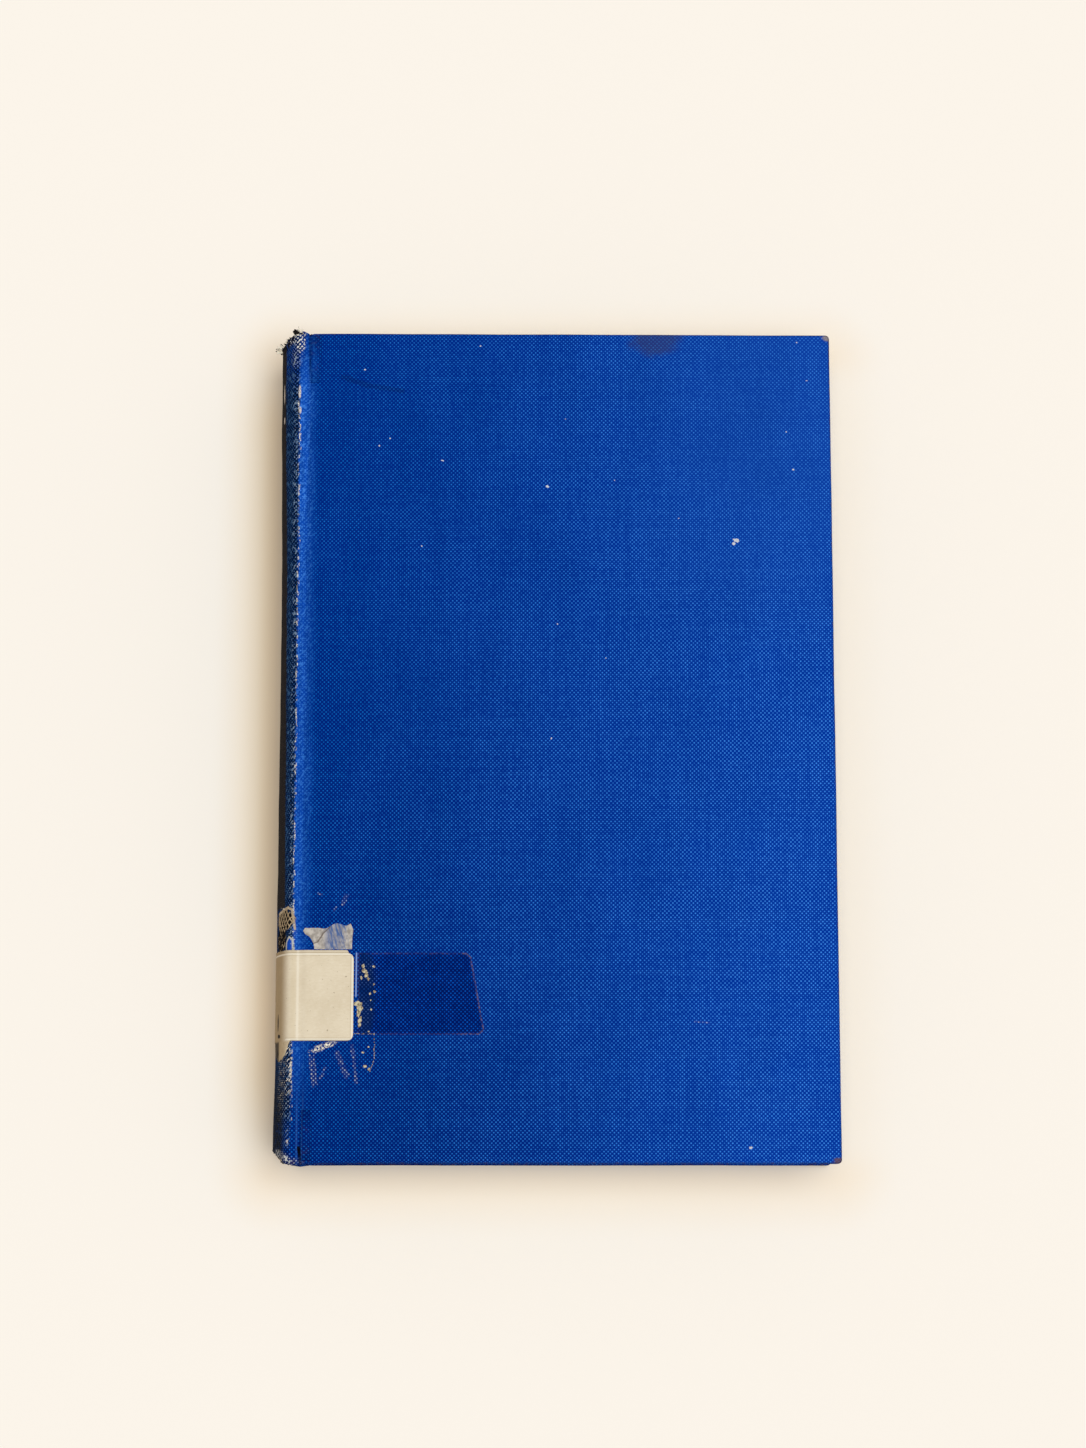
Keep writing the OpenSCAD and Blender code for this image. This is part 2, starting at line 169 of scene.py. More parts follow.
class Graph:
    """Short ways to add and link the nodes of one tree."""

    def __init__(self, tree):
        self.tree = tree

    def put(self, socket, value):
        """Links a socket to another, or sets its constant."""
        if isinstance(value, bpy.types.NodeSocket):
            self.tree.links.new(value, socket)
        elif socket.type == "RGBA" and len(value) == 3:
            socket.default_value = (*value, 1)
        else:
            socket.default_value = value

    def node(self, kind, settings=None, **inputs):
        """Adds a node, with its settings and inputs by name."""
        made = self.tree.nodes.new(kind)
        for name, value in (settings or {}).items():
            setattr(made, name, value)
        for name, value in inputs.items():
            self.put(made.inputs[name.replace("_", " ")], value)
        return made

    def group(self, tree, **inputs):
        """Adds a node group, with its inputs by name."""
        return self.node("ShaderNodeGroup", {"node_tree": tree}, **inputs)

    def math(self, operation, first, second=None):
        """A sum, product or other function of one or two numbers."""
        made = self.node("ShaderNodeMath", {"operation": operation})
        self.put(made.inputs[0], first)
        if second is not None:
            self.put(made.inputs[1], second)
        return made.outputs[0]

    def times(self, first, second):
        """The product of two numbers."""
        return self.math("MULTIPLY", first, second)

    def plus(self, first, second):
        """The sum of two numbers."""
        return self.math("ADD", first, second)

    def less(self, first, second):
        """The first number less the second."""
        return self.math("SUBTRACT", first, second)

    def most(self, first, second):
        """The larger of two numbers."""
        return self.math("MAXIMUM", first, second)

    def span(self, value, start, end, low_value=0.0, high_value=1.0):
        """Turns smoothly from one value to another while the input crosses a range."""
        made = self.node("ShaderNodeMapRange", {"interpolation_type": "SMOOTHSTEP"})
        for socket, item in zip(made.inputs, (value, start, end, low_value, high_value)):
            self.put(socket, item)
        return made.outputs[0]

    def inside(self, value, start, end, soft):
        """A mask that is one between two values, with soft sides."""
        rise = self.span(value, start - soft, start + soft)
        fall = self.span(value, end - soft, end + soft, 1.0, 0.0)
        return self.times(rise, fall)

    def mix(self, factor, first, second, blend="MIX"):
        """Two colours mixed by a mask."""
        made = self.node("ShaderNodeMix", {"data_type": "RGBA", "blend_type": blend})
        for socket, value in zip(COLOUR_MIX_INPUTS, (factor, first, second)):
            self.put(made.inputs[socket], value)
        return made.outputs[COLOUR_MIX_RESULT]

    def noise(self, place, scale, detail=2.0, rough=0.5):
        """The value of a noise texture."""
        made = self.node("ShaderNodeTexNoise", Vector=place, Scale=scale, Detail=detail, Roughness=rough)
        return made.outputs["Fac"]

    def grain(self, place, scale, detail=2.0, rough=0.5):
        """The value of a noise texture, with its own scale along each axis."""
        return self.noise(self.stretched(place, scale), 1.0, detail, rough)

    def tint(self, colour, gains):
        """A colour with its red, green and blue each multiplied."""
        return self.mix(1.0, colour, gains, "MULTIPLY")

    def stretched(self, place, scale):
        """A place with each of its axes scaled."""
        made = self.node("ShaderNodeMapping", Vector=place)
        made.inputs["Scale"].default_value = scale
        return made.outputs[0]

    def turned(self, place, angle):
        """A place turned about the sheet's upward axis."""
        made = self.node("ShaderNodeVectorRotate", {"rotation_type": "Z_AXIS"}, Vector=place, Angle=angle)
        return made.outputs[0]

    def vector(self, operation, first, second=None):
        """A sum or other function of places: a number where that is what it gives."""
        made = self.node("ShaderNodeVectorMath", {"operation": operation})
        self.put(made.inputs[0], first)
        if second is not None:
            self.put(made.inputs[1], second)
        return made.outputs["Value" if operation in ("LENGTH", "DOT_PRODUCT") else "Vector"]

    def split(self, place):
        """The three numbers of a place."""
        return self.node("ShaderNodeSeparateXYZ", Vector=place).outputs

    def join(self, x, y, z=0.0):
        """A place made of three numbers."""
        made = self.node("ShaderNodeCombineXYZ")
        for socket, value in zip(made.inputs, (x, y, z)):
            self.put(socket, value)
        return made.outputs[0]


def new_group(name, inputs, outputs):
    """A node group with named inputs and outputs, ready to fill."""
    group = bpy.data.node_groups.new(name, "ShaderNodeTree")
    for label, kind, default in inputs:
        socket = group.interface.new_socket(label, in_out="INPUT", socket_type=kind)
        if default is not None:
            socket.default_value = default
    for label, kind in outputs:
        group.interface.new_socket(label, in_out="OUTPUT", socket_type=kind)
    source = group.nodes.new("NodeGroupInput").outputs
    target = group.nodes.new("NodeGroupOutput").inputs
    return group, Graph(group), source, target


FLOAT = "NodeSocketFloat"
VECTOR = "NodeSocketVector"
CLOTH_WOBBLE = 0.35


def weave_group():
    """Linen threads passing over and under each other, in the sheet's own millimetres."""
    if "Linen weave" in bpy.data.node_groups:
        return bpy.data.node_groups["Linen weave"]
    group, g, source, target = new_group(
        "Linen weave",
        [("Place", VECTOR, None), ("Thread", FLOAT, 0.465), ("Wobble", FLOAT, 0.5)],
        [("Height", FLOAT), ("Shade", FLOAT)],
    )
    place = source["Place"]
    across, along, _ = g.split(place)[:]
    drift = g.node("ShaderNodeTexNoise", Vector=place, Scale=0.35, Detail=3.0)
    drift_x, drift_y, _ = g.split(drift.outputs["Color"])[:]
    shift_x = g.times(g.less(drift_x, 0.5), source["Wobble"])
    shift_y = g.times(g.less(drift_y, 0.5), source["Wobble"])
    column = g.plus(g.math("DIVIDE", across, source["Thread"]), shift_x)
    row = g.plus(g.math("DIVIDE", along, source["Thread"]), shift_y)
    wave_x = g.math("SINE", g.times(column, math.pi))
    wave_y = g.math("SINE", g.times(row, math.pi))
    cross = g.times(wave_x, wave_y)
    column_no = g.math("FLOOR", column)
    row_no = g.math("FLOOR", row)
    warp_tone = g.noise(g.join(g.times(column_no, 2.31), g.times(along, 0.055)), 1.0, 2.0)
    weft_tone = g.noise(g.join(g.times(across, 0.055), g.times(row_no, 2.77)), 1.0, 2.0)
    warp_gain = g.span(warp_tone, 0.3, 0.7, 0.8, 1.0)
    weft_gain = g.span(weft_tone, 0.3, 0.7, 0.0, 0.2)
    knot = g.node("ShaderNodeTexWhiteNoise", {"noise_dimensions": "2D"}, Vector=g.join(column_no, row_no))
    knot_gain = g.plus(g.times(knot.outputs["Value"], 0.5), 0.6)
    warp_crown = g.most(cross, 0.0)
    warp = g.times(g.times(warp_crown, warp_gain), knot_gain)
    weft_cross = g.most(g.times(cross, -1.0), 0.0)
    weft = g.times(g.math("POWER", weft_cross, 0.85), weft_gain)
    height = g.most(warp, weft)
    fibre = g.noise(place, 5.0, 2.0)
    g.put(target["Height"], height)
    g.put(target["Shade"], g.times(height, g.span(fibre, 0.25, 0.75, 0.8, 1.2)))
    return group


def patch_group():
    """A soft ragged patch at one place of a sheet, used for stains, rubs and soil."""
    if "Soft patch" in bpy.data.node_groups:
        return bpy.data.node_groups["Soft patch"]
    group, g, source, target = new_group(
        "Soft patch",
        [
            ("Place", VECTOR, None),
            ("Centre", VECTOR, None),
            ("Half size", VECTOR, (5, 5, 1)),
            ("Turn", FLOAT, 0.0),
            ("Edge", FLOAT, 0.4),
            ("Ragged", FLOAT, 0.6),
            ("Grain", FLOAT, 0.5),
        ],
        [("Mask", FLOAT)],
    )
    moved = g.turned(g.vector("SUBTRACT", source["Place"], source["Centre"]), source["Turn"])
    x, y, _ = g.split(g.vector("DIVIDE", moved, source["Half size"]))[:]
    reach = g.vector("LENGTH", g.join(x, y))
    rough = g.noise(source["Place"], source["Grain"], 4.0)
    torn = g.times(g.less(rough, 0.5), source["Ragged"])
    distance = g.plus(reach, torn)
    start = g.less(1.0, source["Edge"])
    end = g.plus(1.0, source["Edge"])
    g.put(target["Mask"], g.span(distance, start, end, 1.0, 0.0))
    return group


def stroke_group():
    """A rubbed or soiled stroke between two places of a sheet, broken up by a noise value."""
    if "Rub stroke" in bpy.data.node_groups:
        return bpy.data.node_groups["Rub stroke"]
    group, g, source, target = new_group(
        "Rub stroke",
        [
            ("Place", VECTOR, None),
            ("Start", VECTOR, None),
            ("End", VECTOR, None),
            ("Width", FLOAT, 0.3),
            ("Noise", FLOAT, 0.5),
            ("Ragged", FLOAT, 1.0),
        ],
        [("Mask", FLOAT)],
    )

    here = g.vector("SUBTRACT", source["Place"], source["Start"])
    run = g.vector("SUBTRACT", source["End"], source["Start"])
    along = g.math("DIVIDE", g.vector("DOT_PRODUCT", here, run), g.vector("DOT_PRODUCT", run, run))
    share = g.node("ShaderNodeClamp", Value=along).outputs[0]
    nearest = g.node("ShaderNodeVectorMath", {"operation": "SCALE"}, Vector=run, Scale=share)
    away = g.vector("LENGTH", g.vector("SUBTRACT", here, nearest.outputs["Vector"]))
    torn = g.times(g.less(source["Noise"], 0.5), source["Ragged"])
    distance = g.plus(g.math("DIVIDE", away, source["Width"]), torn)
    g.put(target["Mask"], g.span(distance, 0.6, 1.25, 1.0, 0.0))
    return group


class Surface(Graph):
    """The graph of one material, with its shader."""

    def __init__(self, name, rough, specular):
        self.material = bpy.data.materials.new(name)
        self.material.use_nodes = True
        super().__init__(self.material.node_tree)
        self.colour = None
        self.shader = self.tree.nodes["Principled BSDF"]
        self.shader.inputs["Roughness"].default_value = rough
        self.shader.inputs["Specular IOR Level"].default_value = specular

    def lay(self, mask, colour, share=1.0):
        """Lays a colour over what the surface shows so far, by a share of a mask."""
        if share != 1.0:
            mask = self.times(mask, share)
        self.colour = self.mix(mask, self.colour, colour)

    def sheet_place(self):
        """Place on the sheet in millimetres: distance round from the spine's middle, then height."""
        return self.node("ShaderNodeAttribute", {"attribute_name": "sheet"}).outputs["Vector"]

    def worn_mask(self):
        """How far a place is rubbed, from nought to one, kept on the piece."""
        return self.node("ShaderNodeAttribute", {"attribute_name": "worn"}).outputs["Fac"]

    def own_place(self):
        """Place on the piece itself, in millimetres."""
        place = self.node("ShaderNodeTexCoord").outputs["Object"]
        return self.stretched(place, (1000, 1000, 1000))

    def weave(self, place, thread, wobble):
        """Height and shade of the threads at a place."""
        made = self.group(weave_group(), Place=place, Thread=thread, Wobble=wobble)
        return made.outputs["Height"], made.outputs["Shade"]

    def finished(self, colour, height, depth):
        """Gives the shader its colour, and raises it by a height times a depth in millimetres."""
        self.put(self.shader.inputs["Base Color"], colour)
        made = self.node("ShaderNodeBump", Height=height, Distance=depth * MM)
        self.put(self.shader.inputs["Normal"], made.outputs[0])
        return self.material


class SheetSurface(Surface):
    """The graph of a sheet's material; its marks are placed in millimetres from the cover's edge."""

    def __init__(self, name, rough, specular):
        super().__init__(name, rough, specular)
        self.sizes = bpy.context.scene.book_sizes
        self.edge = Profile(self.sizes).lip
        self.place = self.sheet_place()

    def patch(self, centre, half, turn=0.0, edge=0.4, ragged=0.6, grain=0.5):
        """The mask of one soft patch."""
        made = self.group(
            patch_group(), Place=self.place, Centre=(self.edge + centre[0], centre[1], 0),
            Half_size=(*half, 1), Turn=turn * DEG, Edge=edge, Ragged=ragged, Grain=grain,
        )
        return made.outputs["Mask"]

    def strokes(self, rough, paths, ragged=1.6):
        """The mask of several strokes, each a start, an end and a width."""
        total = None
        for start, end, width in paths:
            made = self.group(
                stroke_group(), Place=self.place, Noise=rough, Start=(self.edge + start[0], start[1], 0),
                End=(self.edge + end[0], end[1], 0), Width=width, Ragged=ragged,
            )
            mask = made.outputs["Mask"]
            total = mask if total is None else self.most(total, mask)
        return total


# Shape helpers


def extrude_rows(bm, points, stations, place, closed=False):
    """Extrudes a row of points through the stations; place gives each vertex its spot."""
    row = [bm.verts.new() for _ in points]
    edges = [bm.edges.new(pair) for pair in zip(row, row[1:])]
    if closed:
        edges.append(bm.edges.new((row[-1], row[0])))
    for vert, point in zip(row, points):
        place(vert, point, stations[0])
    rows = [row]
    for station in stations[1:]:
        made = bmesh.ops.extrude_edge_only(bm, edges=edges)["geom"]
        fresh = {item for item in made if isinstance(item, bmesh.types.BMVert)}
        following = []
        for vert in row:
            following.append(next(e.other_vert(vert) for e in vert.link_edges if e.other_vert(vert) in fresh))
        for vert, point in zip(following, points):
            place(vert, point, station)
        edges = [
            item for item in made
            if isinstance(item, bmesh.types.BMEdge) and all(v in fresh for v in item.verts)
        ]
        row = following
        rows.append(row)
    return rows


def face_outward(bm):
    """Makes all faces of a shape agree on their outer side."""
    bmesh.ops.recalc_face_normals(bm, faces=bm.faces[:])


def flip_faces(bm):
    """Turns all faces of a shape over."""
    bmesh.ops.reverse_faces(bm, faces=bm.faces[:])


def make_piece(name, bm, material, smooth=True):
    """Turns the worked shape into an object of the scene."""
    mesh = bpy.data.meshes.new(name)
    bm.to_mesh(mesh)
    bm.free()
    for polygon in mesh.polygons:
        polygon.use_smooth = smooth
    mesh.materials.append(material)
    obj = bpy.data.objects.new(name, mesh)
    bpy.context.scene.collection.objects.link(obj)
    return obj


def thicken(obj, thickness, offset=-1):
    """Gives a sheet its thickness, inwards from the face that shows, and makes it part of the mesh."""
    solid = obj.modifiers.new("Thickness", "SOLIDIFY")
    solid.thickness = thickness * MM
    solid.offset = offset
    bpy.context.view_layer.update()
    graph = bpy.context.evaluated_depsgraph_get()
    mesh = bpy.data.meshes.new_from_object(
        obj.evaluated_get(graph), preserve_all_data_layers=True, depsgraph=graph
    )
    flat = obj.data
    obj.modifiers.clear()
    obj.data = mesh
    bpy.data.meshes.remove(flat)
    mesh.name = obj.name
    return obj


def layers(bm):
    """The two values that every sheet keeps at its vertices."""
    return bm.verts.layers.float_vector.new("sheet"), bm.verts.layers.float.new("worn")


def ripple(x, y, z, size, seed):
    """Smooth noise from minus one to one at a place in millimetres."""
    return noise.noise(Vector((x / size + seed, y / size, z / size + seed)))


def steps(start, end, count):
    """Evenly spaced values with both ends."""
    return [start + (end - start) * i / count for i in range(count + 1)]


def quarter(count):
    """Sine and one minus cosine of the steps of a quarter turn."""
    turns = [math.pi / 2 * i / count for i in range(1, count)]
    return [(math.sin(t), 1 - math.cos(t)) for t in turns]


def eased(value):
    """A value held between nought and one, with soft ends."""
    value = min(1.0, max(0.0, value))
    return value * value * (3 - 2 * value)


ARC_STEPS = 18
BEND_STEPS = 8
FACE_STEPS = 30
CREST_SINK = 0.1
FACE_RISE = 0.03


class Profile:
    """The outline of the spine and joint across the front half of the case."""

    def __init__(self, sizes):
        self.sizes = sizes
        centre = sizes.spine_centre
        radius = sizes.spine_radius
        angle = sizes.joint_angle
        self.points = []
        for turn in steps(0, angle, ARC_STEPS):
            spot = (centre - radius * math.cos(turn), MID_Z + radius * math.sin(turn))
            self.points.append((spot, (math.cos(turn), -math.sin(turn))))
        start = self.points[-1][0]
        crest = (COVER_X - sizes.ridge, COVER_Z - CREST_SINK)
        middle = (start[0] + (crest[1] - start[1]) * math.tan(angle), crest[1])
        for t in steps(0, 1, BEND_STEPS)[1:]:
            s = 1 - t
            x = s * s * start[0] + 2 * s * t * middle[0] + t * t * crest[0]
            z = s * s * start[1] + 2 * s * t * middle[1] + t * t * crest[1]
            lean = angle + (math.pi / 2 - angle) * t
            self.points.append(((x, z), (math.cos(lean), -math.sin(lean))))
        self.crest_x = crest[0]
        self.end_x = COVER_X + sizes.band + 0.3
        for t in steps(0, 1, FACE_STEPS)[1:]:
            x = crest[0] + (self.end_x - crest[0]) * t
            self.points.append(((x, crest[1] + (CREST_SINK + FACE_RISE) * eased(t * 1.6)), (0.0, -1.0)))
        self.round = [0.0]
        for (a, _), (b, _) in zip(self.points, self.points[1:]):
            self.round.append(self.round[-1] + math.hypot(b[0] - a[0], b[1] - a[1]))
        self.crest = self.round[ARC_STEPS + BEND_STEPS]
        self.lip = self.crest + sizes.ridge

    def dip(self, x, y):
        """Depth of the hollow of the joint, with its sharp crease near head and tail."""
        t = (x - self.crest_x) / (COVER_X + 1.2 - self.crest_x)
        if t <= 0 or t >= 1:
            return 0.0
        near_end = eased((abs(y) - 84) / 11)
        hollow = (self.sizes.joint_drop + 0.35 * near_end) * math.sin(math.pi * t) ** 1.5
        beside = max(0.0, 1 - abs(x - COVER_X - 0.05) / 0.42)
        return hollow + self.sizes.joint_crease * eased((abs(y) - 88) / 6) * beside * beside

    def cover(self, x):
        """Distance round at a place on the cover's face, given its distance from the cover's edge."""
        return self.lip + x

    def at(self, distance, rise=0.0, y=0.0, share=1.0):
        """Place across and up at a distance round from the spine's middle, raised off the cloth."""
        side = 1 if distance >= 0 else -1
        distance = abs(distance)
        for i in range(len(self.round) - 1):
            if distance <= self.round[i + 1]:
                break
        t = (distance - self.round[i]) / (self.round[i + 1] - self.round[i])
        (ax, az), (nx, nz) = self.points[i]
        (bx, bz), (mx, mz) = self.points[i + 1]
        x = ax + (bx - ax) * t - rise * (nx + (mx - nx) * t)
        z = az + (bz - az) * min(t, 1.0) - rise * (nz + (mz - nz) * t)
        z = z - self.dip(x, y) * share
        return x, MID_Z + side * (z - MID_Z)


def mirrored(bm):
    """Turns a front piece over into the back one, about the middle of the thickness."""
    for vert in bm.verts:
        vert.co.z = 2 * MID_Z * MM - vert.co.z
    flip_faces(bm)


def bend_line(side):
    """Where the covering stops following the leaves and where it follows a cover."""
    joint = next(j for j in frame["joints"] if j["name"] == f"{side}_cover_hinge")
    hinge = joint["pos_m"]
    start = (hinge[0] - 0.5 * MM, 0, hinge[2])
    end = ((COVER_X + 0.5) * MM, 0, hinge[2])
    return start, end


# Materials

# Each rub's start, end and width. Marks are placed by their distance from the cover's edge and their
# height above the middle of the book, in millimetres.
RUBS = [
    ((3.1, -71.0), (4.9, -69.8), 0.5),
    ((4.9, -69.8), (7.0, -69.3), 0.6),
    ((2.2, -72.1), (3.0, -78.8), 0.35),
    ((3.0, -72.0), (3.7, -78.2), 0.25),
    ((4.5, -77.1), (5.6, -74.6), 0.3),
    ((8.3, -71.5), (10.4, -76.4), 0.65),
    ((11.5, -69.7), (11.9, -72.0), 0.4),
    ((11.9, -72.0), (12.6, -77.9), 0.32),
    ((9.9, -36.0), (9.2, -37.6), 0.5),
    ((7.7, -38.6), (7.1, -39.4), 0.22),
    ((3.6, -35.4), (4.4, -35.6), 0.25),
    ((6.3, -69.5), (7.0, -67.6), 0.3),
    ((88.7, -64.2), (91.9, -64.5), 0.16),
    ((-1.5, -44.2), (-2.1, -45.8), 0.4),
    ((-2.1, -45.8), (-2.0, -47.9), 0.5),
]

# Each fleck's place and half sizes.
FLECKS = [
    ((-2.7, -91.0), (0.22, 0.4)),
    ((-2.0, 81.9), (0.24, 1.5)),
    ((-1.9, 77.5), (0.26, 0.8)),
    ((-9.3, 82.8), (0.5, 2.2)),
    ((-9.0, 76.4), (0.5, 0.8)),
]


class CaseCloth(SheetSurface):
    """The graph of the case cloth, with the values that its tones and marks share."""

    def __init__(self):
        super().__init__("worn_case_cloth", 0.85, 0.008)
        self.ridge = self.edge - self.sizes.ridge
        self.u, self.v, _ = self.split(self.place)[:]
        self.across = self.math("ABSOLUTE", self.u)
        self.height, self.shade = self.weave(self.place, self.sizes.thread, CLOTH_WOBBLE)
        self.rough = self.noise(self.place, 0.75, 4.0, 0.6)
        self.loose = self.less(self.rough, 0.5)
        self.fine = self.noise(self.place, 1.7, 3.0, 0.6)
        self.twist = self.grain(self.place, (5, 2.6, 1), 2.0)
        self.wrinkle = self.grain(self.place, (0.7, 2.6, 1), 3.0)
        self.slanted = self.turned(self.place, 0.6)
        self.dash_noise = self.grain(self.slanted, (2.0, 0.8, 1), 2.0)
        dashes = self.span(self.dash_noise, 0.52, 0.64, 0.0, 0.75)
        self.dash = self.times(dashes, self.span(self.across, 5.5, 8.5))
        self.band_place = self.plus(self.across, self.loose)
        long_wave = self.less(self.noise(self.join(3.0, self.v), 0.06, 3.0), 0.5)
        self.far_side = self.less(self.band_place, self.times(long_wave, 2.5))
        near = self.span(self.band_place, self.ridge - 0.5, self.ridge + 0.2)
        far = self.span(self.far_side, self.edge, self.edge + 3.4, 1.0, 0.0)
        self.band = self.times(self.times(near, far), self.span(self.v, -88, -70, 0.05, 0.92))


def cover_tones(g, colours):
    """The cloth's own blue, and the same with painted shade in its gaps and painted light on its threads."""
    cloud = g.noise(g.place, 0.022, 3.0, 0.6)
    smear = g.grain(g.place, (0.1, 0.035, 1), 4.0, 0.6)
    drift = g.math("DIVIDE", g.less(g.across, g.edge + 2), 112)
    tone = g.plus(drift, g.times(g.less(cloud, 0.5), 0.55))
    tone = g.plus(tone, g.times(g.less(smear, 0.5), 0.5))
    tone = g.node("ShaderNodeClamp", Value=tone).outputs[0]
    base = g.mix(tone, colours.cloth_dark, colours.cloth_light)
    low_left = g.times(g.span(g.v, -110, 70, 0.6, 0.0), g.span(g.across, g.edge + 95, g.edge + 15))
    # Painted shade in the gaps between threads and painted light on the thread crowns, varied from place to
    # place by lustre.
    ground = g.tint(base, (0.0, 0.46, 0.79))
    ground = g.mix(low_left, ground, srgb(0, 18, 92))
    crown = g.tint(base, (7.6, 4.05, 2.15))
    rows = g.grain(g.place, (0.025, 0.9, 1), 3.0, 0.6)
    lines = g.grain(g.place, (1.1, 0.03, 1), 3.0, 0.6)
    lustre = g.plus(g.span(rows, 0.3, 0.7, 0.35, 0.6), g.span(lines, 0.3, 0.7, 0.4, 0.65))
    field = g.mix(g.span(g.times(g.shade, lustre), 0.0, 0.85), ground, crown)
    evened = g.times(g.span(g.across, g.edge + 60, g.edge + 105, 0.0, 0.35), g.span(g.v, 10, 70))
    field = g.mix(evened, field, g.mix(0.15, ground, crown))
    return base, field


def joint_tones(g, colours, base, field):
    """The polished band of the joint with painted sheen and painted light on its threads, and its creases
    with painted shade.
    """
    # Painted sheen along the joint band, varying along its length.
    streak = g.grain(g.place, (1.5, 0.1, 1), 3.0)
    sheen = g.times(g.span(streak, 0.3, 0.7, 0.45, 1.0), g.span(g.wrinkle, 0.3, 0.65, 0.45, 1.0))
    sheen = g.times(sheen, g.span(g.far_side, g.ridge + 0.5, g.edge + 2.6, 1.0, 0.0))
    high_sheen = g.plus(g.span(g.v, -95, -40, 0.25, 0.72), g.span(g.v, 10, 75, 0.0, 0.4))
    high_sheen = g.times(high_sheen, g.span(g.v, 82, 91, 1.0, 0.35))
    sheen = g.times(sheen, high_sheen)
    joint_tone = g.mix(sheen, g.mix(0.45, base, srgb(18, 74, 166)), colours.joint_sheen_blue)
    # Painted light on the thread crowns of the band and painted shade between them.
    joint_top = g.tint(joint_tone, (2.9, 2.1, 1.4))
    joint_tone = g.tint(joint_tone, (0.25, 0.66, 0.84))
    thread_line = g.most(g.span(g.shade, 0.1, 0.85), g.span(g.dash_noise, 0.5, 0.66, 0.0, 0.8))
    joint_tone = g.mix(thread_line, joint_tone, joint_top)
    g.colour = g.mix(g.band, field, joint_tone)
    # Painted shade in the creases beside the board near head and tail.
    second_line = g.inside(g.across, g.edge + 2.75, g.edge + 2.95, 0.12)
    creases = g.times(second_line, g.span(g.v, 86, 92, 0.0, 0.4))
    main_crease = g.inside(g.across, g.edge, g.edge + 0.5, 0.18)
    pale_lines = g.inside(g.across, g.edge - 0.8, g.edge - 0.55, 0.25)
    pale_lines = g.plus(pale_lines, g.inside(g.across, g.edge + 0.6, g.edge + 0.8, 0.2))
    pale_lines = g.times(pale_lines, g.span(g.v, -86, -76, 0.45, 0.0))
    g.lay(pale_lines, srgb(58, 108, 186))
    creases = g.most(creases, g.times(main_crease, g.span(g.v, 83, 92, 0.0, 0.95)))
    g.lay(creases, srgb(2, 24, 84))


def spine_tones(g, colours, base):
    """The navy sides and the dark panel of the spine."""
    near_ends = g.most(g.span(g.v, 80, 90), g.span(g.v, -90, -84, 1.0, 0.0))
    navy = g.mix(g.times(near_ends, 0.6), colours.spine_navy, base)
    # Painted shade between the threads and painted light on their crowns.
    navy_gap = g.tint(navy, (0.15, 0.22, 0.3))
    navy_top = g.tint(navy, (2.1, 3.1, 2.9))
    navy = g.mix(g.span(g.shade, 0.0, 0.8), navy_gap, navy_top)
    navy = g.mix(g.dash, navy, srgb(66, 104, 146))
    by_ridge = g.inside(g.band_place, g.ridge - 1.5, g.ridge, 0.5)
    by_ridge = g.times(by_ridge, g.span(g.most(g.shade, g.dash), 0.55, 0.9, 0.0, 0.75))
    navy = g.mix(by_ridge, navy, srgb(150, 162, 172))
    on_spine = g.span(g.band_place, g.ridge - 0.5, g.ridge + 0.2, 1.0, 0.0)
    on_spine = g.times(on_spine, g.span(g.v, -92, -82, 0.75, 1.0))
    g.lay(on_spine, navy)
    panel_edge = g.less(g.plus(g.band_place, g.times(g.v, 0.02)), 10.2)
    panel = g.span(panel_edge, -0.4, 0.5, 1.0, 0.0)
    panel_run = g.inside(g.v, -38.5, 95, 0.6)
    panel_tone = g.mix(g.rough, srgb(30, 27, 28), colours.spine_field)
    # Painted light on the thread crowns of the dark panel.
    panel_tone = g.mix(g.span(g.shade, 0.3, 1.0, 0.0, 0.5), panel_tone, srgb(104, 96, 88))
    g.lay(g.times(panel, panel_run), panel_tone)


def low_soil(g):
    """Brown-black soil at the foot of the spine."""
    soiled = g.times(g.span(g.v, -84, -70, 1.0, 0.0), g.span(g.band_place, 10.5, 13.8, 1.0, 0.0))
    diagonal = {"bands_direction": "DIAGONAL"}
    twill = g.node("ShaderNodeTexWave", diagonal, Vector=g.place, Scale=0.35, Distortion=3.0)
    soil_tone = g.mix(twill.outputs["Fac"], srgb(12, 18, 32), srgb(30, 36, 48))
    # Painted light on the thread crowns through the soil.
    soil_tone = g.mix(g.span(g.shade, 0.3, 0.9, 0.0, 0.6), soil_tone, srgb(72, 76, 82))
    g.lay(g.times(soiled, g.span(g.rough, 0.3, 0.55, 0.55, 1.0)), soil_tone)


def torn_patch(g):
    """Bare threads where the spine's cloth is torn above the label, over painted shade in the hole."""
    net_patch = g.patch((-6.0, -41.3), (4.3, 2.5), edge=0.1, ragged=0.4, grain=0.6)
    shaded_hole = g.patch((-7.4, -45.6), (3.2, 3.0), edge=0.2, ragged=0.5, grain=0.6)
    # Near-black painted shade in the hollow under the torn cloth.
    g.lay(g.most(net_patch, shaded_hole), srgb(20, 17, 18))
    strand = 0.0
    for lean in (0.75, -0.6):
        net = g.node("ShaderNodeTexWave", Vector=g.turned(g.place, lean), Scale=0.27, Distortion=3.0)
        strand = g.most(g.span(net.outputs["Fac"], 0.8, 0.95), strand)
    sparse = g.times(shaded_hole, g.span(g.rough, 0.5, 0.6))
    strand = g.times(strand, g.most(net_patch, sparse))
    g.lay(strand, g.mix(g.rough, srgb(150, 122, 86), srgb(226, 204, 168)), 0.9)
    torn_paths = [
        ((-9.6, -39.6), (-3.5, -38.5), 0.36),
        ((-9.8, -40.4), (-8.4, -42.4), 0.26),
        ((-3.5, -38.6), (-2.3, -39.0), 0.3),
        ((-2.3, -39.0), (-1.6, -43.4), 0.3),
    ]
    torn_edge = g.strokes(g.rough, torn_paths, 0.9)
    g.lay(torn_edge, g.mix(g.rough, srgb(120, 92, 62), srgb(232, 212, 178)), 0.85)


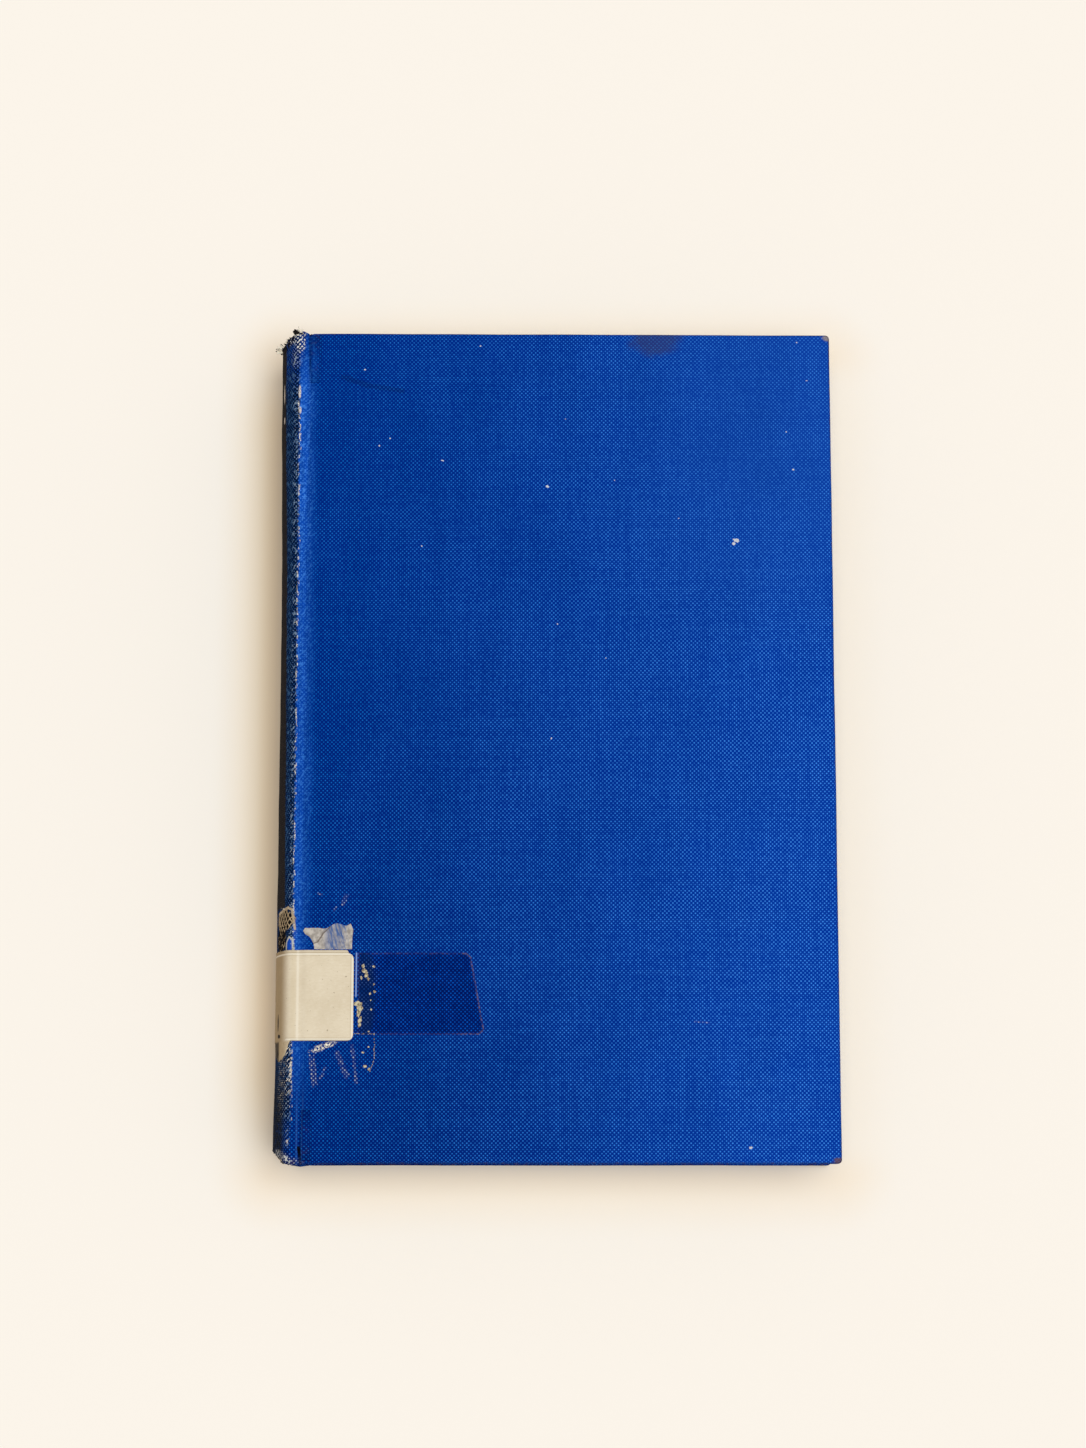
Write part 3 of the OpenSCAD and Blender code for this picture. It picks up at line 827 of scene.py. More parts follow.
def ringed_spot(g):
    """A clean blue spot with a pale ring beside the torn patch."""
    blue_spot = g.patch((-2.9, -46.9), (0.9, 1.5), edge=0.2, ragged=0.4, grain=0.8)
    g.lay(blue_spot, srgb(22, 76, 178))
    arch_paths = [
        ((-4.1, -48.1), (-3.9, -46.3), 0.26),
        ((-3.9, -46.3), (-3.0, -45.2), 0.24),
        ((-3.0, -45.2), (-2.1, -45.8), 0.22),
        ((-2.1, -45.8), (-1.9, -48.0), 0.3),
    ]
    arch = g.times(g.strokes(g.rough, arch_paths, 0.8), 0.8)
    g.lay(arch, srgb(200, 200, 190))


def worn_ridge(g):
    """Bare thread along the ridge of the joint."""
    wander = g.times(g.less(g.noise(g.join(0.0, g.v), 0.12, 3.0), 0.5), 1.6)
    lane_place = g.plus(g.plus(g.across, wander), g.times(g.loose, 0.5))
    lane = g.inside(lane_place, g.ridge - 0.22, g.ridge + 0.12, 0.1)
    gaps = g.span(g.grain(g.place, (1.1, 0.7, 1), 4.0, 0.65), 0.51, 0.58)
    lane = g.times(g.times(lane, gaps), g.inside(g.v, -80, 84, 2.0))
    bare_tone = g.mix(g.span(g.twist, 0.4, 0.6), srgb(86, 88, 96), srgb(240, 236, 226))
    g.lay(lane, bare_tone)
    jagged = g.inside(lane_place, g.ridge - 0.6, g.ridge + 0.15, 0.12)
    jagged = g.times(g.inside(g.v, -80, -69.5, 1.2), jagged)
    shreds = g.grain(g.slanted, (1.7, 1.1, 1), 3.0)
    jagged = g.times(jagged, g.span(shreds, 0.5, 0.57))
    fuzz = g.patch((-5.2, -77.0), (2.8, 7.2), edge=0.5, ragged=1.2, grain=0.7)
    fuzz = g.times(fuzz, g.span(g.plus(g.shade, g.times(g.loose, 1.6)), 0.42, 0.75))
    pale = g.times(g.most(jagged, fuzz), g.span(g.u, 0.0, 1.0))
    g.lay(pale, g.mix(g.span(g.twist, 0.35, 0.6), srgb(120, 120, 122), srgb(222, 214, 200)))


def worn_ends(g):
    """Rubs, holes and flecks at the head and tail of the joint, with painted shade in the holes and between
    the rubbed threads.
    """
    head_rub = g.patch((-4.4, 95.2), (3.2, 1.4), -8, edge=0.35, ragged=1.1, grain=0.8)
    head_rub = g.most(head_rub, g.patch((-2.0, 94.0), (1.0, 2.8), 0, 0.3, 0.9, 0.8))
    faint_rub = g.patch((-3.0, 90.5), (1.4, 2.6), edge=0.6, ragged=1.3, grain=0.6)
    head_rub = g.most(head_rub, g.times(faint_rub, 0.16))
    tail_rub = g.patch((-4.8, -94.6), (4.6, 1.2), 14, edge=0.5, ragged=1.5, grain=0.9)
    end_rub = g.most(head_rub, g.times(tail_rub, 0.7))
    # Painted shade between the threads under the rubs; the crowns are then whitened by wear.
    g.lay(end_rub, srgb(24, 44, 84), 0.45)
    end_rub = g.times(end_rub, g.span(g.most(g.shade, g.times(g.dash, 0.9)), 0.28, 0.55))
    g.lay(end_rub, g.mix(g.twist, srgb(200, 204, 200), srgb(250, 246, 236)))
    holes = g.patch((-6.9, 94.6), (3.9, 1.5), -12, edge=0.3, ragged=0.9, grain=0.8)
    holes = g.times(holes, g.span(g.noise(g.place, 1.3, 2.0), 0.42, 0.5))
    slit = g.strokes(g.rough, [((-0.3, -92.3), (0.2, -95.4), 0.26)], 0.5)
    # Near-black painted shade inside the holes at the head and the slit at the tail.
    g.lay(g.most(holes, slit), srgb(14, 14, 22))
    for spot, half in FLECKS:
        fleck = g.patch(spot, half, edge=0.3, ragged=1.0, grain=1.1)
        fleck = g.times(fleck, g.span(g.twist, 0.34, 0.52, 0.15, 0.9))
        g.lay(fleck, g.mix(g.twist, srgb(196, 184, 172), srgb(244, 234, 222)))


def cover_marks(g):
    """Rubs, creases, stain and worn corners of the covers."""
    rubs = g.times(g.strokes(g.fine, RUBS, 2.6), g.span(g.shade, 0.3, 0.62, 0.04, 1.0))
    rubs = g.times(rubs, g.span(g.rough, 0.36, 0.56, 0.2, 0.8))
    g.lay(rubs, g.mix(g.twist, srgb(146, 164, 164), srgb(236, 232, 210)))
    smear_at = g.patch((5.2, -69.9), (2.6, 0.6), -20, edge=0.45, ragged=1.9, grain=0.9)
    smear_at = g.times(smear_at, g.span(g.fine, 0.44, 0.53))
    pale_line = [((12.4, -48.9), (12.35, -58.6), 0.17)]
    line = g.strokes(g.fine, pale_line, 0.4)
    g.lay(line, srgb(150, 174, 226), 0.7)
    smear_tone = g.mix(g.span(g.twist, 0.35, 0.55), srgb(150, 140, 128), srgb(255, 246, 224))
    g.lay(smear_at, smear_tone)
    dark_paths = [((8.1, 85.4), (14, 83.3), 0.7), ((14, 83.3), (21.7, 82.2), 0.6)]
    shadow = g.strokes(g.rough, dark_paths)
    stain = g.patch((80.6, 94.6), (5.5, 3.6), edge=0.35, ragged=0.9, grain=0.35)
    g.lay(shadow, srgb(6, 24, 66), 0.28)
    g.lay(stain, srgb(52, 58, 84), 0.5)
    corners = [
        ((121.2, 95.3), (1.3, 0.9), srgb(92, 84, 84), srgb(196, 178, 148)),
        ((121.0, -95.5), (1.5, 0.9), srgb(60, 44, 40), srgb(132, 98, 74)),
    ]
    for spot, half, dark, light in corners:
        corner = g.patch(spot, half, edge=0.3, ragged=1.2, grain=0.9)
        g.lay(corner, g.mix(g.twist, dark, light), 0.75)


def worn_edges(g):
    """Darker tone and bare brown along the worn edges."""
    worn = g.worn_mask()
    far = g.times(worn, g.span(g.rough, 0.52, 0.66))
    g.lay(g.times(worn, g.span(g.rough, 0.3, 0.6, 0.2, 0.6)), srgb(14, 18, 44))
    g.lay(far, srgb(88, 60, 52), 0.6)


def case_cloth_material(colours):
    """Blue starched linen of the case, with the panel, wear and soil of its spine and covers."""
    g = CaseCloth()
    base, field = cover_tones(g, colours)
    joint_tones(g, colours, base, field)
    spine_tones(g, colours, base)
    for mark in (low_soil, torn_patch, ringed_spot, worn_ridge, worn_ends, cover_marks, worn_edges):
        mark(g)
    weave_rise = g.times(g.less(1.0, g.times(g.band, 0.8)), g.height)
    rise = g.plus(weave_rise, g.times(g.rough, 0.5))
    rise = g.plus(rise, g.times(g.times(g.wrinkle, g.band), 1.2))
    return g.finished(g.colour, rise, 0.07)


def label_material(colours):
    """Old coated paper of the label, yellowed, with a pressed line near its edges; painted shade on its side
    round the spine and in the pressed groove, and a painted highlight along its fold.
    """
    g = SheetSurface("yellowed_label_paper", 0.75, 0.1)
    place = g.place
    u, v, _ = g.split(place)[:]
    edge = g.edge
    right = edge + (high("front_label", 0) - COVER_X)
    top = high("front_label", 1) - 0.4
    foot = low("front_label", 1)
    cloud = g.noise(place, 0.16, 4.0, 0.6)
    g.colour = g.mix(g.span(cloud, 0.3, 0.7), srgb(218, 203, 176), colours.label)
    fibre = g.grain(place, (1.1, 2.6, 1), 4.0, 0.6)
    g.lay(g.span(fibre, 0.5, 0.75, 0.0, 0.35), srgb(240, 229, 208))
    g.lay(g.span(fibre, 0.5, 0.25, 0.0, 0.35), srgb(206, 190, 160))
    # Painted shade, mottled, on the label's side where it curves round the spine.
    side = g.span(u, 9.3, 14.2, 1.0, 0.0)
    mottle = g.noise(place, 0.5, 4.0)
    darkening = g.mix(mottle, colours.label_side_shade, srgb(166, 142, 104))
    g.lay(side, darkening, 0.9)
    # Painted highlight along the fold over the joint, and painted shade just left of it.
    fold = g.inside(u, edge - 1.1, edge - 0.55, 0.2)
    g.lay(fold, srgb(240, 230, 210), 0.6)
    left_of_fold = g.inside(u, edge - 2.4, edge - 1.2, 0.4)
    g.lay(left_of_fold, srgb(204, 186, 152), 0.3)
    tongue = g.span(v, foot - 0.4, foot + 0.3, 1.0, 0.0)
    shadow = g.times(tongue, g.span(u, edge - 8.2, edge - 6.9, 0.9, 0.0))
    g.lay(tongue, g.mix(mottle, srgb(150, 126, 90), srgb(206, 186, 150)), 0.6)
    g.lay(shadow, srgb(40, 32, 26))
    from_right = g.less(right, u)
    from_top = g.less(top, v)
    from_foot = g.less(v, foot)
    under = g.plus(g.span(from_foot, -0.1, 0.0, 10.0, 0.0), g.span(u, edge - 5.2, edge - 3.6, 10.0, 0.0))
    nearest = g.math("MINIMUM", from_right, g.math("MINIMUM", from_top, g.plus(from_foot, under)))
    # Painted shade in the pressed groove inside the rim line.
    groove = g.inside(nearest, 0.55, 0.72, 0.12)
    line = g.inside(nearest, 0.12, 0.5, 0.1)
    g.lay(line, srgb(246, 238, 220), 0.6)
    g.lay(groove, srgb(178, 158, 124), 0.35)
    seam = g.inside(v, top - 0.08, top + 0.12, 0.08)
    g.lay(seam, srgb(150, 128, 94), 0.5)
    specks = g.span(g.noise(place, 1.5, 2.0), 0.70, 0.74)
    g.lay(specks, srgb(110, 94, 72), 0.6)
    spots = g.patch((-8.6, -64.4), (0.5, 2.0), 0, 0.2, 0.7, 1.2)
    spots = g.most(spots, g.patch((-7.7, -67.4), (1.0, 0.45), 0, 0.2, 0.9, 1.2))
    spots = g.most(spots, g.patch((-8.6, -71.4), (0.8, 0.9), 0, 0.3, 1.0, 1.0))
    g.lay(spots, srgb(34, 28, 24))
    rise = g.plus(g.times(line, 0.8), g.times(fibre, 0.6))
    rise = g.plus(rise, g.times(fold, 0.6))
    return g.finished(g.colour, rise, 0.07)


def tape_material(colours):
    """Thin dark film left on the cloth: the weave shows through, with soil and haze beside the label."""
    g = SheetSurface("dark_tape_film", 0.6, 0.004)
    edge = g.edge
    place = g.place
    worn = g.worn_mask()
    u, _, _ = g.split(place)[:]
    height, shade = g.weave(place, g.sizes.thread, CLOTH_WOBBLE)
    cloud = g.noise(place, 0.25, 4.0, 0.6)
    g.colour = g.mix(g.span(cloud, 0.3, 0.7), srgb(0, 36, 112), colours.tape)
    # Painted shade in the gaps between threads and painted light on the thread crowns.
    gap = g.tint(g.colour, (0.0, 0.3, 0.55))
    crown = g.tint(g.colour, (10.0, 4.6, 2.8))
    g.colour = g.mix(g.span(shade, 0.0, 0.85), gap, crown)
    darkening = g.patch((14.6, -58.0), (2.0, 10.5), edge=0.3, ragged=0.8, grain=0.6)
    g.lay(darkening, g.mix(cloud, srgb(2, 18, 56), srgb(8, 38, 84)), 0.62)
    rough = g.noise(place, 1.4, 3.0)
    far_end = g.span(u, edge + 34, edge + 38, 0.25, 1.0)
    rim = g.times(g.times(worn, far_end), g.span(rough, 0.42, 0.6, 0.1, 0.8))
    g.lay(rim, srgb(122, 104, 118))
    haze = g.patch((14.6, -53.4), (2.6, 2.8), edge=0.6, ragged=0.9, grain=0.7)
    haze = g.most(haze, g.patch((14.0, -62.6), (2.2, 3.6), 0, 0.6, 0.9, 0.7))
    g.lay(g.times(haze, g.span(shade, 0.2, 0.8, 0.0, 0.35)), srgb(96, 118, 132))
    return g.finished(g.colour, g.times(height, 0.6), 0.05)


def scrap_material(colours):
    """Thin torn paper with the blue of the cloth showing through its thin places."""
    g = SheetSurface("torn_scrap_paper", 0.8, 0.2)
    place = g.place
    edge = g.edge
    u, _, _ = g.split(place)[:]
    thin = g.grain(g.turned(place, -0.25), (1.6, 0.3, 1), 5.0, 0.65)
    toward = g.plus(u, g.times(g.less(thin, 0.5), 5.0))
    blueness = g.inside(toward, edge + 5.4, edge + 9.8, 0.9)
    blueness = g.times(blueness, g.span(thin, 0.38, 0.6, 1.0, 0.35))
    pale = g.noise(place, 0.9, 3.0)
    paper = g.mix(g.span(pale, 0.35, 0.65), srgb(150, 142, 134), colours.scrap)
    paper = g.mix(blueness, paper, srgb(70, 98, 150))
    # Painted shade along the crease lines of the paper.
    crease = g.strokes(pale, [
        ((6.4, -42.9), (4.8, -44.5), 0.16),
        ((4.8, -44.5), (3.6, -46.4), 0.18),
        ((3.6, -46.4), (2.6, -46.7), 0.16),
    ], 0.8)
    paper = g.mix(g.times(crease, 0.7), paper, srgb(84, 68, 58))
    return g.finished(paper, thin, 0.08)


def endpaper_material(colours):
    """Uncoated paper with faint fibres and foxing."""
    g = Surface("cream_endpaper", 0.9, 0.15)
    near = g.own_place()
    cloud = g.noise(near, 0.03, 4.0, 0.6)
    paper = g.mix(g.span(cloud, 0.35, 0.7), srgb(223, 211, 186), colours.endpaper)
    fibre = g.noise(near, 1.6, 3.0)
    paper = g.mix(g.span(fibre, 0.45, 0.75, 0.0, 0.2), paper, srgb(244, 238, 222))
    spots = g.span(g.noise(near, 0.25, 2.0), 0.7, 0.78)
    paper = g.mix(g.times(spots, 0.45), paper, srgb(170, 136, 92))
    return g.finished(paper, fibre, 0.02)


def leaves_material(colours):
    """Cut edges of many leaves: fine lines through the thickness, yellowed unevenly."""
    g = Surface("leaf_edges", 0.92, 0.12)
    near = g.own_place()
    lines = g.grain(near, (0.03, 0.03, 9), 3.0, 0.7)
    folds = g.grain(near, (0.02, 0.02, 0.9), 2.0)
    cloud = g.noise(near, 0.035, 4.0)
    paper = g.mix(g.span(cloud, 0.35, 0.7), srgb(204, 184, 146), colours.paper)
    paper = g.mix(g.span(lines, 0.42, 0.62, 0.6, 0.0), paper, srgb(150, 130, 98))
    paper = g.mix(g.span(folds, 0.55, 0.75, 0.0, 0.3), paper, srgb(166, 144, 108))
    return g.finished(paper, lines, 0.1)


def board_material(colours):
    """Grey board with pressed fibres."""
    g = Surface("grey_board", 0.95, 0.1)
    near = g.own_place()
    fibre = g.noise(g.stretched(near, (1, 1, 4)), 0.9, 5.0, 0.7)
    tone = g.mix(g.span(fibre, 0.35, 0.65), srgb(118, 102, 80), colours.board)
    return g.finished(tone, fibre, 0.12)


def mull_material(colours):
    """Open starched cloth with dark glue between its threads."""
    g = Surface("open_mull", 0.9, 0.1)
    near = g.own_place()
    x, y, z = g.split(near)[:]
    height, _ = g.weave(g.join(g.plus(x, z), y), 0.9, 0.5)
    tone = g.mix(g.span(height, 0.15, 0.6), srgb(120, 98, 66), colours.mull)
    return g.finished(tone, height, 0.15)


def lining_material():
    """Brown paper glued over the back, crinkled by its glue."""
    g = Surface("brown_lining_paper", 0.85, 0.15)
    near = g.own_place()
    cloud = g.noise(near, 0.4, 5.0, 0.65)
    tone = g.mix(g.span(cloud, 0.35, 0.65), srgb(96, 76, 54), srgb(150, 126, 94))
    return g.finished(tone, cloud, 0.1)


def thread_material():
    """Undyed thread, pale, with stretches painted near-black as shade among the tufts."""
    g = Surface("bare_thread", 0.9, 0.1)
    near = g.own_place()
    tone = g.mix(g.span(g.noise(near, 0.7, 1.0), 0.43, 0.49), srgb(24, 20, 18), srgb(246, 238, 220))
    return g.finished(tone, g.noise(near, 12.0, 1.0), 0.02)


def chip_material():
    """Pale flakes where the colour has been knocked off the cloth."""
    g = Surface("pale_chip", 0.85, 0.15)
    near = g.own_place()
    tone = g.mix(g.noise(near, 1.8, 3.0), srgb(168, 174, 196), srgb(228, 226, 222))
    return g.finished(tone, g.noise(near, 8.0, 1.0), 0.02)


def glue_material():
    """Dried brown glue, paler where it stands up."""
    g = Surface("dried_glue", 0.7, 0.15)
    near = g.own_place()
    grain = g.noise(near, 2.2, 4.0)
    tone = g.mix(g.span(grain, 0.35, 0.6), srgb(126, 108, 82), srgb(204, 192, 160))
    return g.finished(tone, grain, 0.06)


# Pieces


# Height of the torn head and tail at the middle of the spine, and 3 mm further in.
TEARS = [(95.0, 96.0), (-93.4, -96.0)]


def spine_strip(name, side, sizes, material):
    """Half of the cloth over the spine: middle to joint, folded in at head and tail and worn there."""
    profile = Profile(sizes)
    wrap = 2 * sizes.cloth + sizes.inlay
    radius = wrap / 2
    end_y = COVER_Y
    bm = bmesh.new()
    sheet, worn = layers(bm)
    turn = []
    for i in range(1, 8):
        a = math.pi * i / 8
        turn.append((radius - radius * math.cos(a), end_y - radius + radius * math.sin(a), radius * a))
    head = [(0.0, end_y - radius, 0.0), *turn]
    head.append((wrap, end_y - radius, radius * math.pi))
    head.append((wrap, end_y - sizes.spine_turn_in, radius * math.pi + sizes.spine_turn_in - radius))
    fine = steps(end_y - radius - 7, end_y - radius, 16)[:-1]
    coarse = steps(-(end_y - radius - 7), end_y - radius - 7, 96)
    stations = [(depth, -y, -(end_y - radius) - extra) for depth, y, extra in reversed(head)]
    stations += [(0.0, -y, -y) for y in reversed(fine)]
    stations += [(0.0, y, y) for y in coarse[1:-1]]
    stations += [(0.0, y, y) for y in fine]
    stations += [(depth, y, end_y - radius + extra) for depth, y, extra in head]
    chain = [(spot, into, run) for (spot, into), run in zip(profile.points, profile.round)]
    sign = 1 if side == "front" else -1
    board_end = COVER_Y - sizes.edge_round

    def place(vert, point, station):
        (x, z), (nx, nz), run = point
        depth, y, along = station
        if x > COVER_X + 0.6:
            depth = depth * 0.1
            y = max(-board_end, min(board_end, y))
        swell = 0.12 * ripple(run * sign, y, 0, 9.0, 3.1) + 0.05 * ripple(run * sign, y, 0, 2.6, 1.3)
        free = eased(run / 3) * eased((COVER_X + 0.4 - x) / 2)
        x = x + nx * (depth - swell * free)
        bulge = 0.55 * eased((y - 30) / 55) + 0.3 * eased((-y - 72) / 18)
        x = x - bulge * eased((COVER_X - 1 - x) / 4)
        z = min(z + nz * (depth - swell * free) - profile.dip(x, y), COVER_Z + FACE_RISE)
        pulled = max(0.0, 1 - abs(run - profile.lip + 1.3) / 1.9) * eased((abs(y) - 92) / 4)
        y = y + (0.7 if y > 0 else -0.25) * pulled
        vert.co = Vector((x, y, z)) * MM
        vert[sheet] = Vector((run * sign, along, 0))
        vert[worn] = 0.5 * eased((abs(y) - 94.5) / 1.5)

    extrude_rows(bm, chain, stations, place)
    bmesh.ops.remove_doubles(bm, verts=bm.verts[:], dist=MERGE)
    face_outward(bm)
    for tear_y, far_y in TEARS:
        start, end = Vector((APEX_X, tear_y, 0)), Vector((APEX_X + 3.0, far_y, 0))
        way = (end - start).normalized()
        out = Vector((-abs(way.y), math.copysign(abs(way.x), start.y), 0))
        geom = bm.verts[:] + bm.edges[:] + bm.faces[:]
        done = bmesh.ops.bisect_plane(
            bm, geom=geom, dist=1e-7, plane_co=start * MM, plane_no=out, clear_outer=True
        )
        for item in done["geom_cut"]:
            if isinstance(item, bmesh.types.BMVert):
                x, y, z = item.co / MM
                back = 0.35 * (1 + ripple(x, y, z, 0.7, 8.0)) + 0.5 * max(0, ripple(x, y, z, 2.1, 5.0))
                item.co -= out * back * MM
                item[worn] = 1.0
    outermost = [f for f in bm.faces if f.calc_center_median().x < (APEX_X + 1) * MM]
    if sum(f.normal.x * f.calc_area() for f in outermost) > 0:
        flip_faces(bm)
    if side == "back":
        mirrored(bm)
    obj = thicken(make_piece(name, bm, material), sizes.cloth)
    start, end = bend_line(side)
    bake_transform(obj)
    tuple(start)
    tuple(end)
    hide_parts("spine_cloth")


def cover_outline(sizes):
    """Points round a cover, each with its corner or its outward way."""
    r = sizes.corner_round
    points = []
    sides = [
        ((COVER_X, -COVER_Y), (FORE_X, -COVER_Y), (0, -1), 28),
        ((FORE_X, -COVER_Y), (FORE_X, COVER_Y), (1, 0), 44),
        ((FORE_X, COVER_Y), (COVER_X, COVER_Y), (0, 1), 28),
        ((COVER_X, COVER_Y), (COVER_X, -COVER_Y), (-1, 0), 44),
    ]
    for i, (start, end, way, count) in enumerate(sides):
        size = math.hypot(end[0] - start[0], end[1] - start[1])
        run = ((end[0] - start[0]) / size, (end[1] - start[1]) / size)
        for share in steps(0, 1, count):
            points.append((start, run, size, share, way))
        following = sides[(i + 1) % 4][2]
        centre = (end[0] - r * (way[0] + following[0]), end[1] - r * (way[1] + following[1]))
        diagonal = (way[0] + following[0], way[1] + following[1])
        for t in steps(0, 1, 6)[1:-1]:
            a = t * math.pi / 2
            cosine, sine = math.cos(a), math.sin(a)
            outward = (way[0] * cosine + following[0] * sine, way[1] * cosine + following[1] * sine)
            points.append((centre, diagonal, None, None, outward))
    return points


def cover_cloth(name, side, sizes, material):
    """Cloth over one board: the outer face, the rounded edges and the mitred turn-in."""
    profile = Profile(sizes)
    r = sizes.corner_round
    e = sizes.edge_round
    bm = bmesh.new()
    sheet, worn = layers(bm)
    stations = [(3.5, COVER_Z, -3.5), (1.4, COVER_Z, -1.4), (e, COVER_Z, -e)]
    for sine, rest in quarter(4):
        stations.append((e - e * sine, COVER_Z - e * rest, e * sine))
    half = math.pi / 2 * e
    stations.append((0.0, COVER_Z - e, half))
    stations.append((0.0, (COVER_Z + INNER_Z) / 2, half + 1))
    far = half + COVER_Z - INNER_Z - 2 * e
    stations.append((0.0, INNER_Z + e, far))
    for sine, rest in quarter(4):
        stations.append((e * rest, INNER_Z + e - e * sine, far + e * sine))
    stations.append((e, INNER_Z, far + half))
    stations.append((sizes.turn_in, INNER_Z, far + half + sizes.turn_in - e))
    sign = 1 if side == "front" else -1
    outline = cover_outline(sizes)

    def place(vert, point, station):
        (px, py), (rx, ry), size, share, way = point
        inset, z, run = station
        if size is not None:
            margin = max(r, inset)
            t = margin + (size - 2 * margin) * share
            x, y = px + rx * t - way[0] * inset, py + ry * t - way[1] * inset
        elif inset <= r:
            x, y = px + way[0] * (r - inset), py + way[1] * (r - inset)
        else:
            x, y = px - rx * (inset - r), py - ry * (inset - r)
        dent = 0.07 * ripple(x, y, 0, 13.0, 1.7) if inset < e else 0.0
        x = x - way[0] * (0.05 + dent) * (inset < e)
        y = y - way[1] * (0.05 + dent) * (inset < e)
        if z > COVER_Z - 1:
            z = z - 0.5 * (1 - eased((x - COVER_X - 0.6) / 0.7))
        vert.co = Vector((x, y, z)) * MM
        extra = max(0.0, run)
        u = profile.cover(x - COVER_X) + way[0] * extra
        vert[sheet] = Vector((sign * u, y + way[1] * extra, 0))
        corner = 1.0 if math.hypot(abs(y) - COVER_Y, x - FORE_X) < 7 else 0.0
        vert[worn] = 0.0 if inset > e - 0.1 or x < COVER_X + 3 else max(0.6, corner)

    extrude_rows(bm, outline, stations, place, closed=True)
    bmesh.ops.remove_doubles(bm, verts=bm.verts[:], dist=MERGE)
    rim = [item for item in bm.edges if item.is_boundary and item.verts[0].co.z > MID_Z * MM]
    rim = [item for item in rim if min(v.co.z for v in item.verts) > (COVER_Z - 0.1) * MM]
    bmesh.ops.contextual_create(bm, geom=rim)
    face_outward(bm)
    top = max(bm.faces, key=lambda f: f.calc_area())
    if top.normal.z < 0:
        flip_faces(bm)
    if side == "back":
        mirrored(bm)
    obj = thicken(make_piece(name, bm, material), sizes.cloth)
    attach(obj, f"{side}_cover")
    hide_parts(f"{side}_cloth")


class BOOK_OT_case_cloth(bpy.types.Operator):
    """Makes the cloth of the case over the spine and both covers."""

    bl_idname = "book.case_cloth"
    bl_label = "Case cloth"

    def execute(self, context):
        sizes = context.scene.book_sizes
        material = case_cloth_material(context.scene.book_colours)
        for side in ("front", "back"):
            spine_strip(f"spine_cloth_{side}", side, sizes, material)
            cover_cloth(f"cover_cloth_{side}", side, sizes, material)
        return {"FINISHED"}


def endpaper(side, material):
    """One sheet folded once: glued to the cover on one side and free over the leaves on the other."""
    bottom = low("front_flyleaf", 2) + 0.05
    top = low("front_pastedown", 2) + 0.1
    fold_x = max(low("front_flyleaf", 0), low("front_pastedown", 0)) + 0.15
    bm = bmesh.new()
    sheet, _ = layers(bm)
    chain = [(x, bottom) for x in steps(high("front_flyleaf", 0), fold_x + 0.4, 40)]
    middle = (bottom + top) / 2
    reach = (top - bottom) / 2
    for t in steps(0, 1, 14):
        a = math.pi * t
        chain.append((fold_x - 0.1 * math.sin(a), middle - reach * math.cos(a)))
    chain += [(x, top) for x in steps(fold_x + 0.4, high("front_pastedown", 0), 40)]
    half_fly = high("front_flyleaf", 1)
    half_paste = high("front_pastedown", 1)
    runs = [0.0]
    for a, b in zip(chain, chain[1:]):
        runs.append(runs[-1] + math.hypot(b[0] - a[0], b[1] - a[1]))
    points = list(zip(chain, runs))

    def place(vert, point, station):
        (x, z), run = point
        share = min(1.0, max(0.0, (z - bottom) / (top - bottom)))
        y = station * (half_fly + (half_paste - half_fly) * share)
        vert.co = Vector((x, y, z)) * MM
        vert[sheet] = Vector((run, y, 0))

    extrude_rows(bm, points, steps(-1, 1, 48), place)
    face_outward(bm)
    if side == "back":
        mirrored(bm)
    obj = thicken(make_piece(f"endpaper_{side}", bm, material), 0.05, 0)
    low_z = bottom + 0.04
    high_z = top - 0.04
    if side == "back":
        low_z = 2 * MID_Z - low_z
        high_z = 2 * MID_Z - high_z
    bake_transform(obj)
    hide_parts(f"{side}_flyleaf", f"{side}_pastedown")


class BOOK_OT_endpapers(bpy.types.Operator):
    """Makes the folded endpaper at each end of the book."""

    bl_idname = "book.endpapers"
    bl_label = "Endpapers"

    def execute(self, context):
        material = endpaper_material(context.scene.book_colours)
        for side in ("front", "back"):
            endpaper(side, material)
        return {"FINISHED"}


SHOULDER_TIP = (-58.75, 23.8)
SHOULDER_FOOT_X = -57.925


